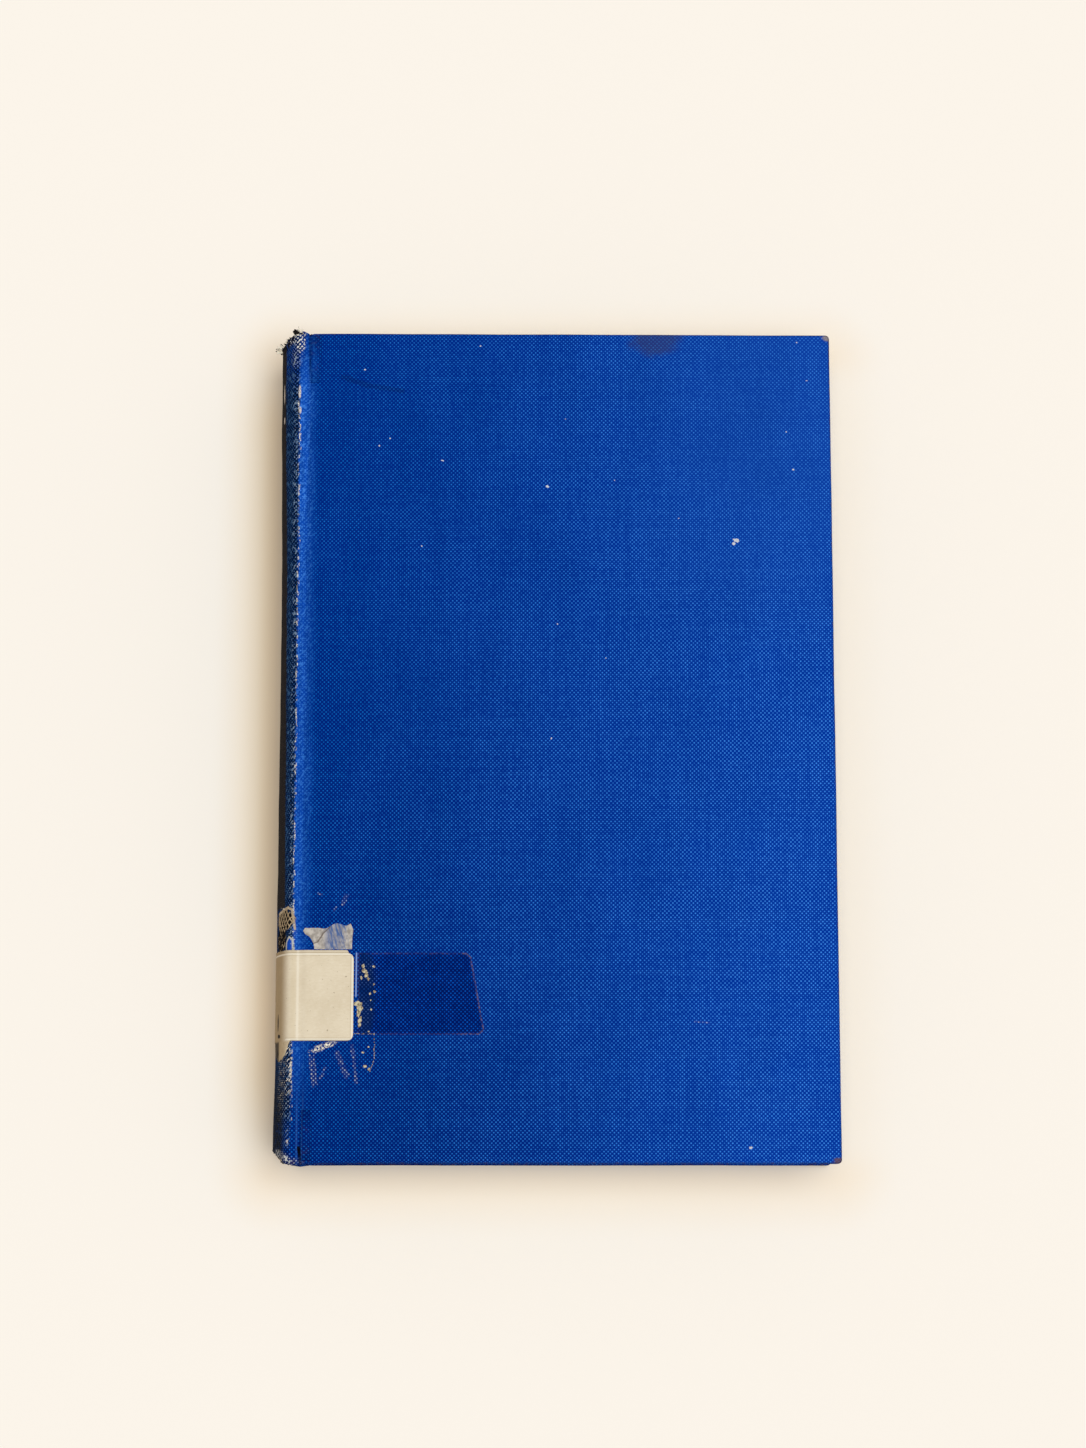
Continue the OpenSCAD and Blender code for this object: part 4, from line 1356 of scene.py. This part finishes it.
def leaves_block(sizes, colours):
    """The block of leaves: rounded back with shoulders, hollow fore edge, each leaf a little step."""
    half = LEAF_TOP_Z - MID_Z
    radius = sizes.back_radius
    centre = sizes.spine_centre
    tip = SHOULDER_TIP
    foot = (SHOULDER_FOOT_X, LEAF_TOP_Z)
    sag = radius - math.sqrt(radius ** 2 - half ** 2)
    rng = random.Random(11)

    def back_x(z):
        """Place of the rounded back at a height."""
        return centre - math.sqrt(max(0.0, radius ** 2 - (z - MID_Z) ** 2))

    def fore_x(z):
        """Place of the hollow fore edge at a height."""
        curve = radius - math.sqrt(radius ** 2 - min(half, abs(z - MID_Z)) ** 2)
        return LEAF_FORE_X - sag + curve

    levels = []
    count = sizes.leaf_count
    for i in range(count):
        z0 = MID_Z - half + 2 * half * i / count
        z1 = MID_Z - half + 2 * half * (i + 1) / count
        jog = (rng.uniform(-0.12, 0.0), rng.uniform(-0.1, 0.0), rng.uniform(-0.1, 0.0))
        levels.append((z0 + 0.015, jog))
        levels.append((z1 - 0.015, jog))
    rim = []
    for z in steps(tip[1], foot[1], 5):
        t = (z - foot[1]) / (tip[1] - foot[1])
        rim.append((z, foot[0] + (tip[0] - foot[0]) * t))
    stations = [(2 * MID_Z - z, x, None) for z, x in rim]
    stations += [(z, fore_x(z), jog) for z, jog in levels]
    stations += [(z, x, None) for z, x in reversed(rim)]
    ring = [(0, y) for y in steps(-1, 1, 18)]
    ring += [(t, 1) for t in steps(0, 1, 12)[1:-1]]
    ring += [(1, y) for y in steps(1, -1, 18)]
    ring += [(t, -1) for t in steps(1, 0, 12)[1:-1]]
    bm = bmesh.new()

    def place(vert, point, station):
        share, side = point
        z, far, jog = station
        near = back_x(z)
        if jog is None:
            x = near + (far - near) * share
            y = side * LEAF_Y
        else:
            x = near + (far - near) * share + (jog[0] if share == 1 else 0)
            y = side * LEAF_Y + (jog[1] if side == 1 else 0) - (jog[2] if side == -1 else 0)
        vert.co = Vector((x, y, z)) * MM

    rows = extrude_rows(bm, ring, stations, place, closed=True)
    bm.faces.new(rows[0])
    bm.faces.new(rows[-1])
    face_outward(bm)
    obj = make_piece("leaves_block", bm, leaves_material(colours), smooth=False)
    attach(obj, "leaves")
    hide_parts("text_block")


class BOOK_OT_leaves(bpy.types.Operator):
    """Makes the block of leaves."""

    bl_idname = "book.leaves"
    bl_label = "Leaves"

    def execute(self, context):
        leaves_block(context.scene.book_sizes, context.scene.book_colours)
        return {"FINISHED"}


class BOOK_OT_inner_parts(bpy.types.Operator):
    """Gives the boards, mull, lining and inlay of the frame their finishes."""

    bl_idname = "book.inner_parts"
    bl_label = "Boards and linings"

    def execute(self, context):
        colours = context.scene.book_colours
        finishes = {
            "board": board_material(colours),
            "mull": mull_material(colours),
            "lining": lining_material(),
        }
        kinds = {
            "front_board": "board",
            "back_board": "board",
            "spine_inlay": "lining",
            "spine_lining": "lining",
            "mull": "mull",
            "front_mull_flange": "mull",
            "back_mull_flange": "mull",
        }
        for node, kind in kinds.items():
            obj = frame["nodes"][node]
            if not obj.material_slots:
                obj.data.materials.append(None)
            for slot in obj.material_slots:
                slot.material = finishes[kind]
        return {"FINISHED"}


LABEL_RISE = 0.16
LABEL_CORNER = 1.4
LABEL_BACK = 8.0


def label_sheet(sizes, colours):
    """Paper label that wraps round the spine and lies on the cover, with two rounded corners."""
    profile = Profile(sizes)
    right = high("front_label", 0)
    top = high("front_label", 1) + 0.2
    foot = low("front_label", 1)
    r = LABEL_CORNER
    bm = bmesh.new()
    sheet, _ = layers(bm)
    points = [(run, None) for run in steps(-LABEL_BACK, profile.cover(2.5), 72)]
    points += [(profile.cover(x), x) for x in steps(2.5, right - r - COVER_X, 22)[1:]]
    for t in steps(0, 1, 10)[1:]:
        x = right - r + r * math.sin(t * math.pi / 2)
        points.append((profile.cover(x - COVER_X), x - COVER_X))

    def place(vert, point, station):
        run, flat = point
        cut = 0.0
        if flat is not None and COVER_X + flat > right - r:
            cut = r - math.sqrt(max(0.0, r * r - (COVER_X + flat - right + r) ** 2))
        reach = max(0.0, math.sin(math.pi * min(1.0, max(0.0, (run - 4.0) / 9.6))))
        tongue = 4.4 * reach ** 0.45 + 0.4 * ripple(run, 0, 0, 1.3, 2.0) * (run < 13)
        step = 0.7 * eased((run - profile.cover(10.3)) / 0.5)
        lowest = foot + cut - tongue
        highest = top - cut - step + 0.2 * ripple(run, 3, 0, 1.7, 4.0) * (run < 12)
        y = lowest + (highest - lowest) * station
        if run <= 0.1 - LABEL_BACK:
            run = run + 0.8 * ripple(y, 0, 0, 1.1, 6.0)
        if flat is None:
            x, z = profile.at(run, LABEL_RISE, y, 0.6)
        else:
            x, z = COVER_X + flat, COVER_Z + LABEL_RISE
        lift = 0.05 * ripple(x, y, 0, 6.0, 9.0) + 0.03 if run > 8 else 0.0
        vert.co = Vector((x, y, z + lift)) * MM
        vert[sheet] = Vector((run, y, 0))

    extrude_rows(bm, points, steps(0, 1, 30), place)
    face_outward(bm)
    if sum(f.normal.z * f.calc_area() for f in bm.faces) < 0:
        flip_faces(bm)
    obj = thicken(make_piece("label_paper", bm, label_material(colours)), 0.13)
    start, end = bend_line("front")
    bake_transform(obj)
    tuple(start)
    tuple(end)
    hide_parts("spine_label", "front_label")


class BOOK_OT_label(bpy.types.Operator):
    """Makes the blank paper label on the spine."""

    bl_idname = "book.label"
    bl_label = "Label"

    def execute(self, context):
        label_sheet(context.scene.book_sizes, context.scene.book_colours)
        return {"FINISHED"}


PATCH_THICKNESS = 0.06
FILM_TOP_WIDTH = 25.2


def flat_patch(name, outline, rim, material, profile):
    """A thin patch lying on the front cover: an outline, a narrow rim and a filled middle."""
    bm = bmesh.new()
    sheet, worn = layers(bm)
    verts = [bm.verts.new(Vector((x, y, COVER_Z + 0.02)) * MM) for x, y in outline]
    face = bm.faces.new(verts)
    if face.normal.z < 0:
        face.normal_flip()
    bm.faces.ensure_lookup_table()
    up = bmesh.ops.extrude_face_region(bm, geom=[face])
    top = [f for f in up["geom"] if isinstance(f, bmesh.types.BMFace)][0]
    bmesh.ops.translate(bm, verts=top.verts[:], vec=(0, 0, PATCH_THICKNESS * MM))
    bmesh.ops.inset_region(bm, faces=[top], thickness=rim * MM, depth=0)
    for vert in bm.verts:
        x, y, _ = vert.co / MM
        vert[sheet] = Vector((profile.cover(x - COVER_X), y, 0))
        vert[worn] = 1.0
    for vert in top.verts:
        vert[worn] = 0.0
    face_outward(bm)
    obj = make_piece(name, bm, material, smooth=False)
    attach(obj, "front_cover")
    return obj


def wavering(corners, step, amount, seed):
    """A closed outline through corners, with small unevenness along its sides."""
    points = []
    for (ax, ay), (bx, by) in zip(corners, corners[1:] + corners[:1]):
        size = math.hypot(bx - ax, by - ay)
        count = max(1, round(size / step))
        nx, ny = (by - ay) / size, -(bx - ax) / size
        for i in range(count):
            t = i / count
            x, y = ax + (bx - ax) * t, ay + (by - ay) * t
            off = amount * ripple(x, y, 0, step * 2.2, seed)
            points.append((x + nx * off, y + ny * off))
    return points


class BOOK_OT_tape(bpy.types.Operator):
    """Makes the dark patch of old tape beside the label."""

    bl_idname = "book.tape"
    bl_label = "Tape"

    def execute(self, context):
        left, foot = low("tape_patch", 0), low("tape_patch", 1)
        right, top = high("tape_patch", 0), high("tape_patch", 1) - 0.1
        short = left + FILM_TOP_WIDTH
        corners = [(left, foot), (left + 4, foot), (right - 1.1, foot), (right, foot + 1.0)]
        corners += [(short + 0.3, top - 1.0), (short - 0.8, top), (left, top)]
        profile = Profile(context.scene.book_sizes)
        outline = wavering(corners, 0.8, 0.10, 3.0)
        material = tape_material(context.scene.book_colours)
        obj = flat_patch("tape_film", outline, 0.45, material, profile)
        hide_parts("tape_patch")
        return {"FINISHED"}


class BOOK_OT_scrap(bpy.types.Operator):
    """Makes the torn scrap of paper above the label."""

    bl_idname = "book.scrap"
    bl_label = "Scrap"

    def execute(self, context):
        left, foot = low("label_scrap", 0), low("label_scrap", 1)
        corners = [(2.6, 0.0), (11.1, 0.0), (11.4, 4.5), (10.8, 5.8), (9.8, 5.3), (7.5, 5.8), (6.4, 5.3)]
        corners += [(5.3, 4.7), (2.4, 4.8), (0.5, 4.8), (0.1, 4.1), (0.6, 3.4), (1.5, 2.9), (2.5, 1.3)]
        corners = [(left + x, foot + y) for x, y in corners]
        profile = Profile(context.scene.book_sizes)
        outline = wavering(corners, 0.5, 0.14, 7.0)
        material = scrap_material(context.scene.book_colours)
        obj = flat_patch("label_scrap_paper", outline, 0.3, material, profile)
        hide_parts("label_scrap")
        return {"FINISHED"}


def add_thread(bm, path, radius):
    """A short loose thread: a five sided tube along a path in millimetres."""
    corners = [2 * math.pi * i / 5 for i in range(5)]
    frames = []
    for i, point in enumerate(path):
        before = path[max(0, i - 1)]
        after = path[min(len(path) - 1, i + 1)]
        way = (after - before).normalized()
        side = way.orthogonal().normalized()
        frames.append((point, side, way.cross(side), radius * (0.55 if i in (0, len(path) - 1) else 1)))

    def place(vert, corner, station):
        point, side, up, size = station
        vert.co = (point + (side * math.cos(corner) + up * math.sin(corner)) * size) * MM

    rows = extrude_rows(bm, corners, frames, place, closed=True)
    bm.faces.new(rows[0])
    bm.faces.new(rows[-1])


def curled(rng, start, way, length, curl):
    """The path of a loose thread from where it leaves the cloth."""
    path = [Vector(start)]
    way = Vector(way).normalized()
    parts = 6
    for _ in range(parts):
        turn = Vector((rng.uniform(-1, 1), rng.uniform(-1, 1), rng.uniform(-1, 1)))
        way = (way + turn * curl).normalized()
        path.append(path[-1] + way * length / parts)
    return path


# The place and half sizes of each chip of colour and each fleck of glue.
CHIPS = [
    (55.5, 59.4, 0.5, 0.3), (112.6, 63.6, 0.3, 0.22), (31.2, 65.5, 0.35, 0.2), (26.5, 45.2, 0.2, 0.16),
    (13.0, 87.2, 0.25, 0.18), (16.5, 69.0, 0.25, 0.2), (19.0, 70.7, 0.2, 0.2), (39.9, 93.0, 0.25, 0.15),
    (59.7, 75.5, 0.15, 0.12), (71.1, 60.9, 0.15, 0.12), (85.9, 51.9, 0.2, 0.12), (57.8, 26.9, 0.2, 0.16),
    (68.9, 19.0, 0.16, 0.12), (56.4, 0.3, 0.15, 0.3), (111.1, 72.6, 0.2, 0.16), (116.0, 84.9, 0.25, 0.12),
    (113.8, 94.1, 0.2, 0.16), (101.0, -92.4, 0.4, 0.3), (99.2, 46.7, 0.85, 0.45), (98.6, 46.0, 0.45, 0.4),
]

GLUE = [
    (13.9, -51.9, 0.32, 0.5), (14.2, -52.9, 0.5, 0.45), (14.7, -53.8, 0.35, 0.55), (15.1, -54.7, 0.25, 0.35),
    (13.5, -54.4, 0.2, 0.4), (16.3, -51.9, 0.28, 0.2), (16.4, -55.9, 0.18, 0.22), (16.5, -57.6, 0.26, 0.26),
    (15.5, -58.0, 0.22, 0.26), (15.7, -59.5, 0.15, 0.16), (15.8, -61.6, 0.2, 0.2), (12.9, -60.3, 0.75, 0.5),
    (13.3, -61.4, 0.6, 0.7), (13.0, -62.6, 0.4, 0.7), (13.3, -64.0, 0.32, 0.7), (13.2, -65.1, 0.28, 0.5),
    (15.3, -66.5, 0.22, 0.16), (14.0, -71.2, 0.28, 0.2), (15.3, -70.0, 0.16, 0.16), (14.5, -74.3, 0.35, 0.22),
    (15.4, -74.9, 0.2, 0.25),
]


def blob(bm, rng, x, y, wide, tall, height):
    """A small uneven flake standing a little above the front cover."""
    turn = rng.uniform(-0.4, 0.4)
    ring = []
    for i in range(12):
        a = 2 * math.pi * i / 12
        size = rng.uniform(0.65, 1.2)
        px, py = wide * size * math.cos(a), tall * size * math.sin(a)
        ring.append((px * math.cos(turn) - py * math.sin(turn), px * math.sin(turn) + py * math.cos(turn)))
    base = Vector((COVER_X + x, y, COVER_Z + 0.01))
    face = bm.faces.new([bm.verts.new((base + Vector((px, py, 0))) * MM) for px, py in ring])
    made = bmesh.ops.extrude_face_region(bm, geom=[face])["geom"]
    rise = [item for item in made if isinstance(item, bmesh.types.BMVert)]
    bmesh.ops.translate(bm, verts=rise, vec=(0, 0, height * MM))
    bmesh.ops.scale(
        bm, verts=rise, vec=(0.8, 0.8, 1), space=Matrix.Translation(-base * MM)
    )


def dotted(rng, start, end, gap):
    """Places of small dots along a line, unevenly spaced."""
    size = math.hypot(end[0] - start[0], end[1] - start[1])
    for t in steps(0, 1, max(1, round(size / gap))):
        if rng.random() < 0.8:
            x = start[0] + (end[0] - start[0]) * t + rng.uniform(-0.1, 0.1)
            y = start[1] + (end[1] - start[1]) * t + rng.uniform(-0.1, 0.1)
            yield x, y, rng.uniform(0.07, 0.16), rng.uniform(0.07, 0.16)


def ridge_threads(bm, rng, profile):
    """Broken warp threads standing up along the worn ridge of the joint."""
    for _ in range(70):
        y = rng.uniform(-92, 83)
        if -69.5 < y < -47.5:
            continue
        run = profile.lip - profile.sizes.ridge + rng.uniform(-0.35, 0.2)
        side = rng.choice((-1, 1))
        length = rng.uniform(0.5, 1.8)
        path = []
        for t in steps(0, 1, 5):
            x, z = profile.at(run + rng.uniform(-0.12, 0.12), 0.04 + 0.05 * math.sin(math.pi * t))
            path.append(Vector((x, y + side * length * t, z)))
        add_thread(bm, path, rng.uniform(0.03, 0.055))
    for _ in range(9):
        y = rng.uniform(-36, 80)
        x, z = profile.at(profile.lip - profile.sizes.ridge - 0.1, 0.03)
        way = (-1.0, rng.uniform(-0.8, 0.8), rng.uniform(0.0, 0.3))
        add_thread(bm, curled(rng, (x, y, z), way, rng.uniform(0.5, 1.3), 0.35), rng.uniform(0.03, 0.05))


TUFTS = [
    (24, 1.0, 3.8, 94.9, 0.333, (-1.0, 0.3), 2.7, 0.27),
    (16, 3.0, 9.5, 95.2, 0.333, (-0.5, 0.8), 1.1, 0.17),
    (32, 11.8, 14.3, 95.9, 0.05, (0.0, 1.0), 2.3, 0.19),
    (22, 3.0, 12.0, -93.5, -0.8, (-0.3, -0.9), 0.5, 0.08),
]


def tufts(bm, rng, profile):
    """Tufts of thread at the torn ends of the spine: count, where round it, the tear, way, length, radius."""
    for count, first, last, start_y, slope, lean, reach, thick in TUFTS:
        for _ in range(count):
            run = rng.uniform(first, last)
            x, z = profile.at(run, -rng.uniform(0.0, 0.35))
            y = start_y + (x - APEX_X) * slope
            y = math.copysign(min(abs(y), COVER_Y - 0.2), y)
            way = (lean[0] + rng.uniform(-0.5, 0.5), lean[1] + rng.uniform(-0.5, 0.5), rng.uniform(-0.2, 0.3))
            length = reach * rng.uniform(0.35, 1.0)
            start = (x, y - math.copysign(0.5, start_y), z)
            add_thread(bm, curled(rng, start, way, length, 0.13), thick * rng.uniform(0.6, 1.3))


class BOOK_OT_wear(bpy.types.Operator):
    """Makes the frayed threads, glue flecks and chips of the worn case."""

    bl_idname = "book.wear"
    bl_label = "Wear"

    def execute(self, context):
        profile = Profile(context.scene.book_sizes)
        rng = random.Random(5)
        bm = bmesh.new()
        ridge_threads(bm, rng, profile)
        tufts(bm, rng, profile)
        for y, run in ((-38.7, 11.0), (-39.2, 7.5), (-40.0, 5.5), (-42.8, 12.0)):
            x, z = profile.at(run, 0.05)
            way = (rng.uniform(-1, 1), rng.uniform(-0.4, 0.4), 0.2)
            add_thread(bm, curled(rng, (x, y, z), way, rng.uniform(0.7, 1.3), 0.3), 0.11)
        for _ in range(9):
            run = profile.lip - 2.4 + rng.uniform(-0.4, 0.3)
            x, z = profile.at(run, 0.04)
            y = rng.uniform(-82, -70)
            path = [Vector((x - 0.55 * t, y - 0.6 * t, z - 0.25 * t)) for t in steps(0, 1, 4)]
            add_thread(bm, path, rng.uniform(0.06, 0.1))
        face_outward(bm)
        threads = make_piece("frayed_threads", bm, thread_material())
        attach(threads, "leaves")

        bm = bmesh.new()
        for x, y, wide, tall in CHIPS:
            blob(bm, rng, x, y, wide, tall, 0.03)
        face_outward(bm)
        chips = make_piece("cover_chips", bm, chip_material(), smooth=False)
        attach(chips, "front_cover")

        bm = bmesh.new()
        for x, y, wide, tall in GLUE:
            blob(bm, rng, x, y, wide * 1.4, tall * 1.4, 0.11)
        corner = ((12.1, -67.0), (16.6, -67.0), (16.6, -72.6), (15.6, -75.5))
        for start, end in zip(corner, corner[1:]):
            for x, y, wide, tall in dotted(rng, start, end, 0.34):
                blob(bm, rng, x, y, wide, tall, 0.1)
        face_outward(bm)
        glue = make_piece("glue_flecks", bm, glue_material(), smooth=False)
        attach(glue, "front_cover")
        return {"FINISHED"}


CAMERA_PLACE = (-11.3, -106.5, 701.3)
CAMERA_TURN = (9.26, -0.71, 0)
CAMERA_LENS = 74.37


class BOOK_OT_stage(bpy.types.Operator):
    """Sets the pale floor with painted shadow round the book, the soft light and the camera."""

    bl_idname = "book.stage"
    bl_label = "Stage"

    def execute(self, context):
        scene = context.scene
        colours = scene.book_colours
        bm = bmesh.new()
        bmesh.ops.create_grid(bm, x_segments=1, y_segments=1, size=4.0)
        g = Surface("floor", 1.0, 0.0)
        place = g.node("ShaderNodeTexCoord").outputs["Object"]
        x, y, _ = g.split(place)[:]
        past_x = g.most(g.less(g.math("ABSOLUTE", x), FORE_X * MM), 0.0)
        past_y = g.most(g.less(g.math("ABSOLUTE", y), COVER_Y * MM), 0.0)
        away = g.vector("LENGTH", g.join(past_x, past_y))
        # Painted shadow on the floor round the book: warmer and darker within 18 mm of it, darkest beside the
        # spine.
        shadow_reach = g.span(away, 0.0, 0.018, 1.0, 0.0)
        left = g.span(x, (APEX_X - 6) * MM, (APEX_X + 4) * MM, 1.0, 0.0)
        beside = g.inside(y, -86 * MM, 92 * MM, 14 * MM)
        left = g.times(left, g.plus(0.15, g.times(beside, 0.85)))
        ends = g.span(g.math("ABSOLUTE", y), (COVER_Y - 6) * MM, (COVER_Y + 4) * MM)
        side_shadow_tone = g.mix(ends, srgb(250, 240, 225), srgb(249, 234, 213))
        tone = g.mix(shadow_reach, colours.floor, g.mix(left, side_shadow_tone, srgb(239, 217, 184)))
        close_shadow = g.times(g.span(away, 0.0, 0.007, 0.7, 0.0), left)
        tone = g.mix(close_shadow, tone, srgb(222, 190, 148))
        g.put(g.shader.inputs["Base Color"], tone)
        floor = make_piece("floor", bm, g.material, smooth=False)

        camera_data = bpy.data.cameras.new("camera")
        camera_data.sensor_fit = "VERTICAL"
        camera_data.sensor_height = 36
        camera_data.lens = CAMERA_LENS
        camera_data.clip_start = 0.01
        camera = bpy.data.objects.new("camera", camera_data)
        camera.location = Vector(CAMERA_PLACE) * MM
        camera.rotation_euler = [angle * DEG for angle in CAMERA_TURN]
        scene.collection.objects.link(camera)
        scene.camera = camera

        sun_data = bpy.data.lights.new("window_light", "SUN")
        sun_data.energy = 2.22
        sun_data.angle = 42 * DEG
        sun_data.color = (0.93, 0.99, 1.0)
        sun = bpy.data.objects.new("window_light", sun_data)
        sun.rotation_euler = Vector((0.15, -0.05, 1)).to_track_quat("Z", "Y").to_euler()
        scene.collection.objects.link(sun)

        world = bpy.data.worlds.new("room_light")
        world.use_nodes = True
        background = world.node_tree.nodes["Background"]
        background.inputs["Color"].default_value = (1.0, 0.88, 0.84, 1)
        background.inputs["Strength"].default_value = 0.36
        w = Graph(world.node_tree)
        seen = w.node("ShaderNodeBackground", Color=srgb(251, 244, 233), Strength=1.0)
        both = w.node("ShaderNodeMixShader")
        w.put(both.inputs[0], w.node("ShaderNodeLightPath").outputs["Is Camera Ray"])
        w.put(both.inputs[1], background.outputs[0])
        w.put(both.inputs[2], seen.outputs[0])
        w.put(world.node_tree.nodes["World Output"].inputs["Surface"], both.outputs[0])
        scene.world = world
        scene.view_settings.view_transform = "Standard"
        return {"FINISHED"}


STEPS = [
    BOOK_OT_case_cloth,
    BOOK_OT_endpapers,
    BOOK_OT_leaves,
    BOOK_OT_inner_parts,
    BOOK_OT_label,
    BOOK_OT_tape,
    BOOK_OT_scrap,
    BOOK_OT_wear,
    BOOK_OT_stage,
]


class BOOK_PT_panel(bpy.types.Panel):
    """Lists the sizes, colours and steps of the book."""

    bl_idname = "BOOK_PT_panel"
    bl_label = "Cloth bound book"
    bl_space_type = "VIEW_3D"
    bl_region_type = "UI"
    bl_category = "Book"

    def draw(self, context):
        for group in (context.scene.book_sizes, context.scene.book_colours):
            box = self.layout.box()
            for name in group.__annotations__:
                box.prop(group, name)
        for step in STEPS:
            self.layout.operator(step.bl_idname)


CLASSES = [BookSizes, BookColours, *STEPS, BOOK_PT_panel]


def register():
    for item in CLASSES:
        bpy.utils.register_class(item)
    bpy.types.Scene.book_sizes = PointerProperty(type=BookSizes)
    bpy.types.Scene.book_colours = PointerProperty(type=BookColours)


def unregister():
    del bpy.types.Scene.book_sizes
    del bpy.types.Scene.book_colours
    for item in reversed(CLASSES):
        bpy.utils.unregister_class(item)


def main():
    """Builds the whole book."""
    register()
    for step in STEPS:
        group, name = step.bl_idname.split(".")
        getattr(getattr(bpy.ops, group), name)()


if __name__ == "__main__":
    main()
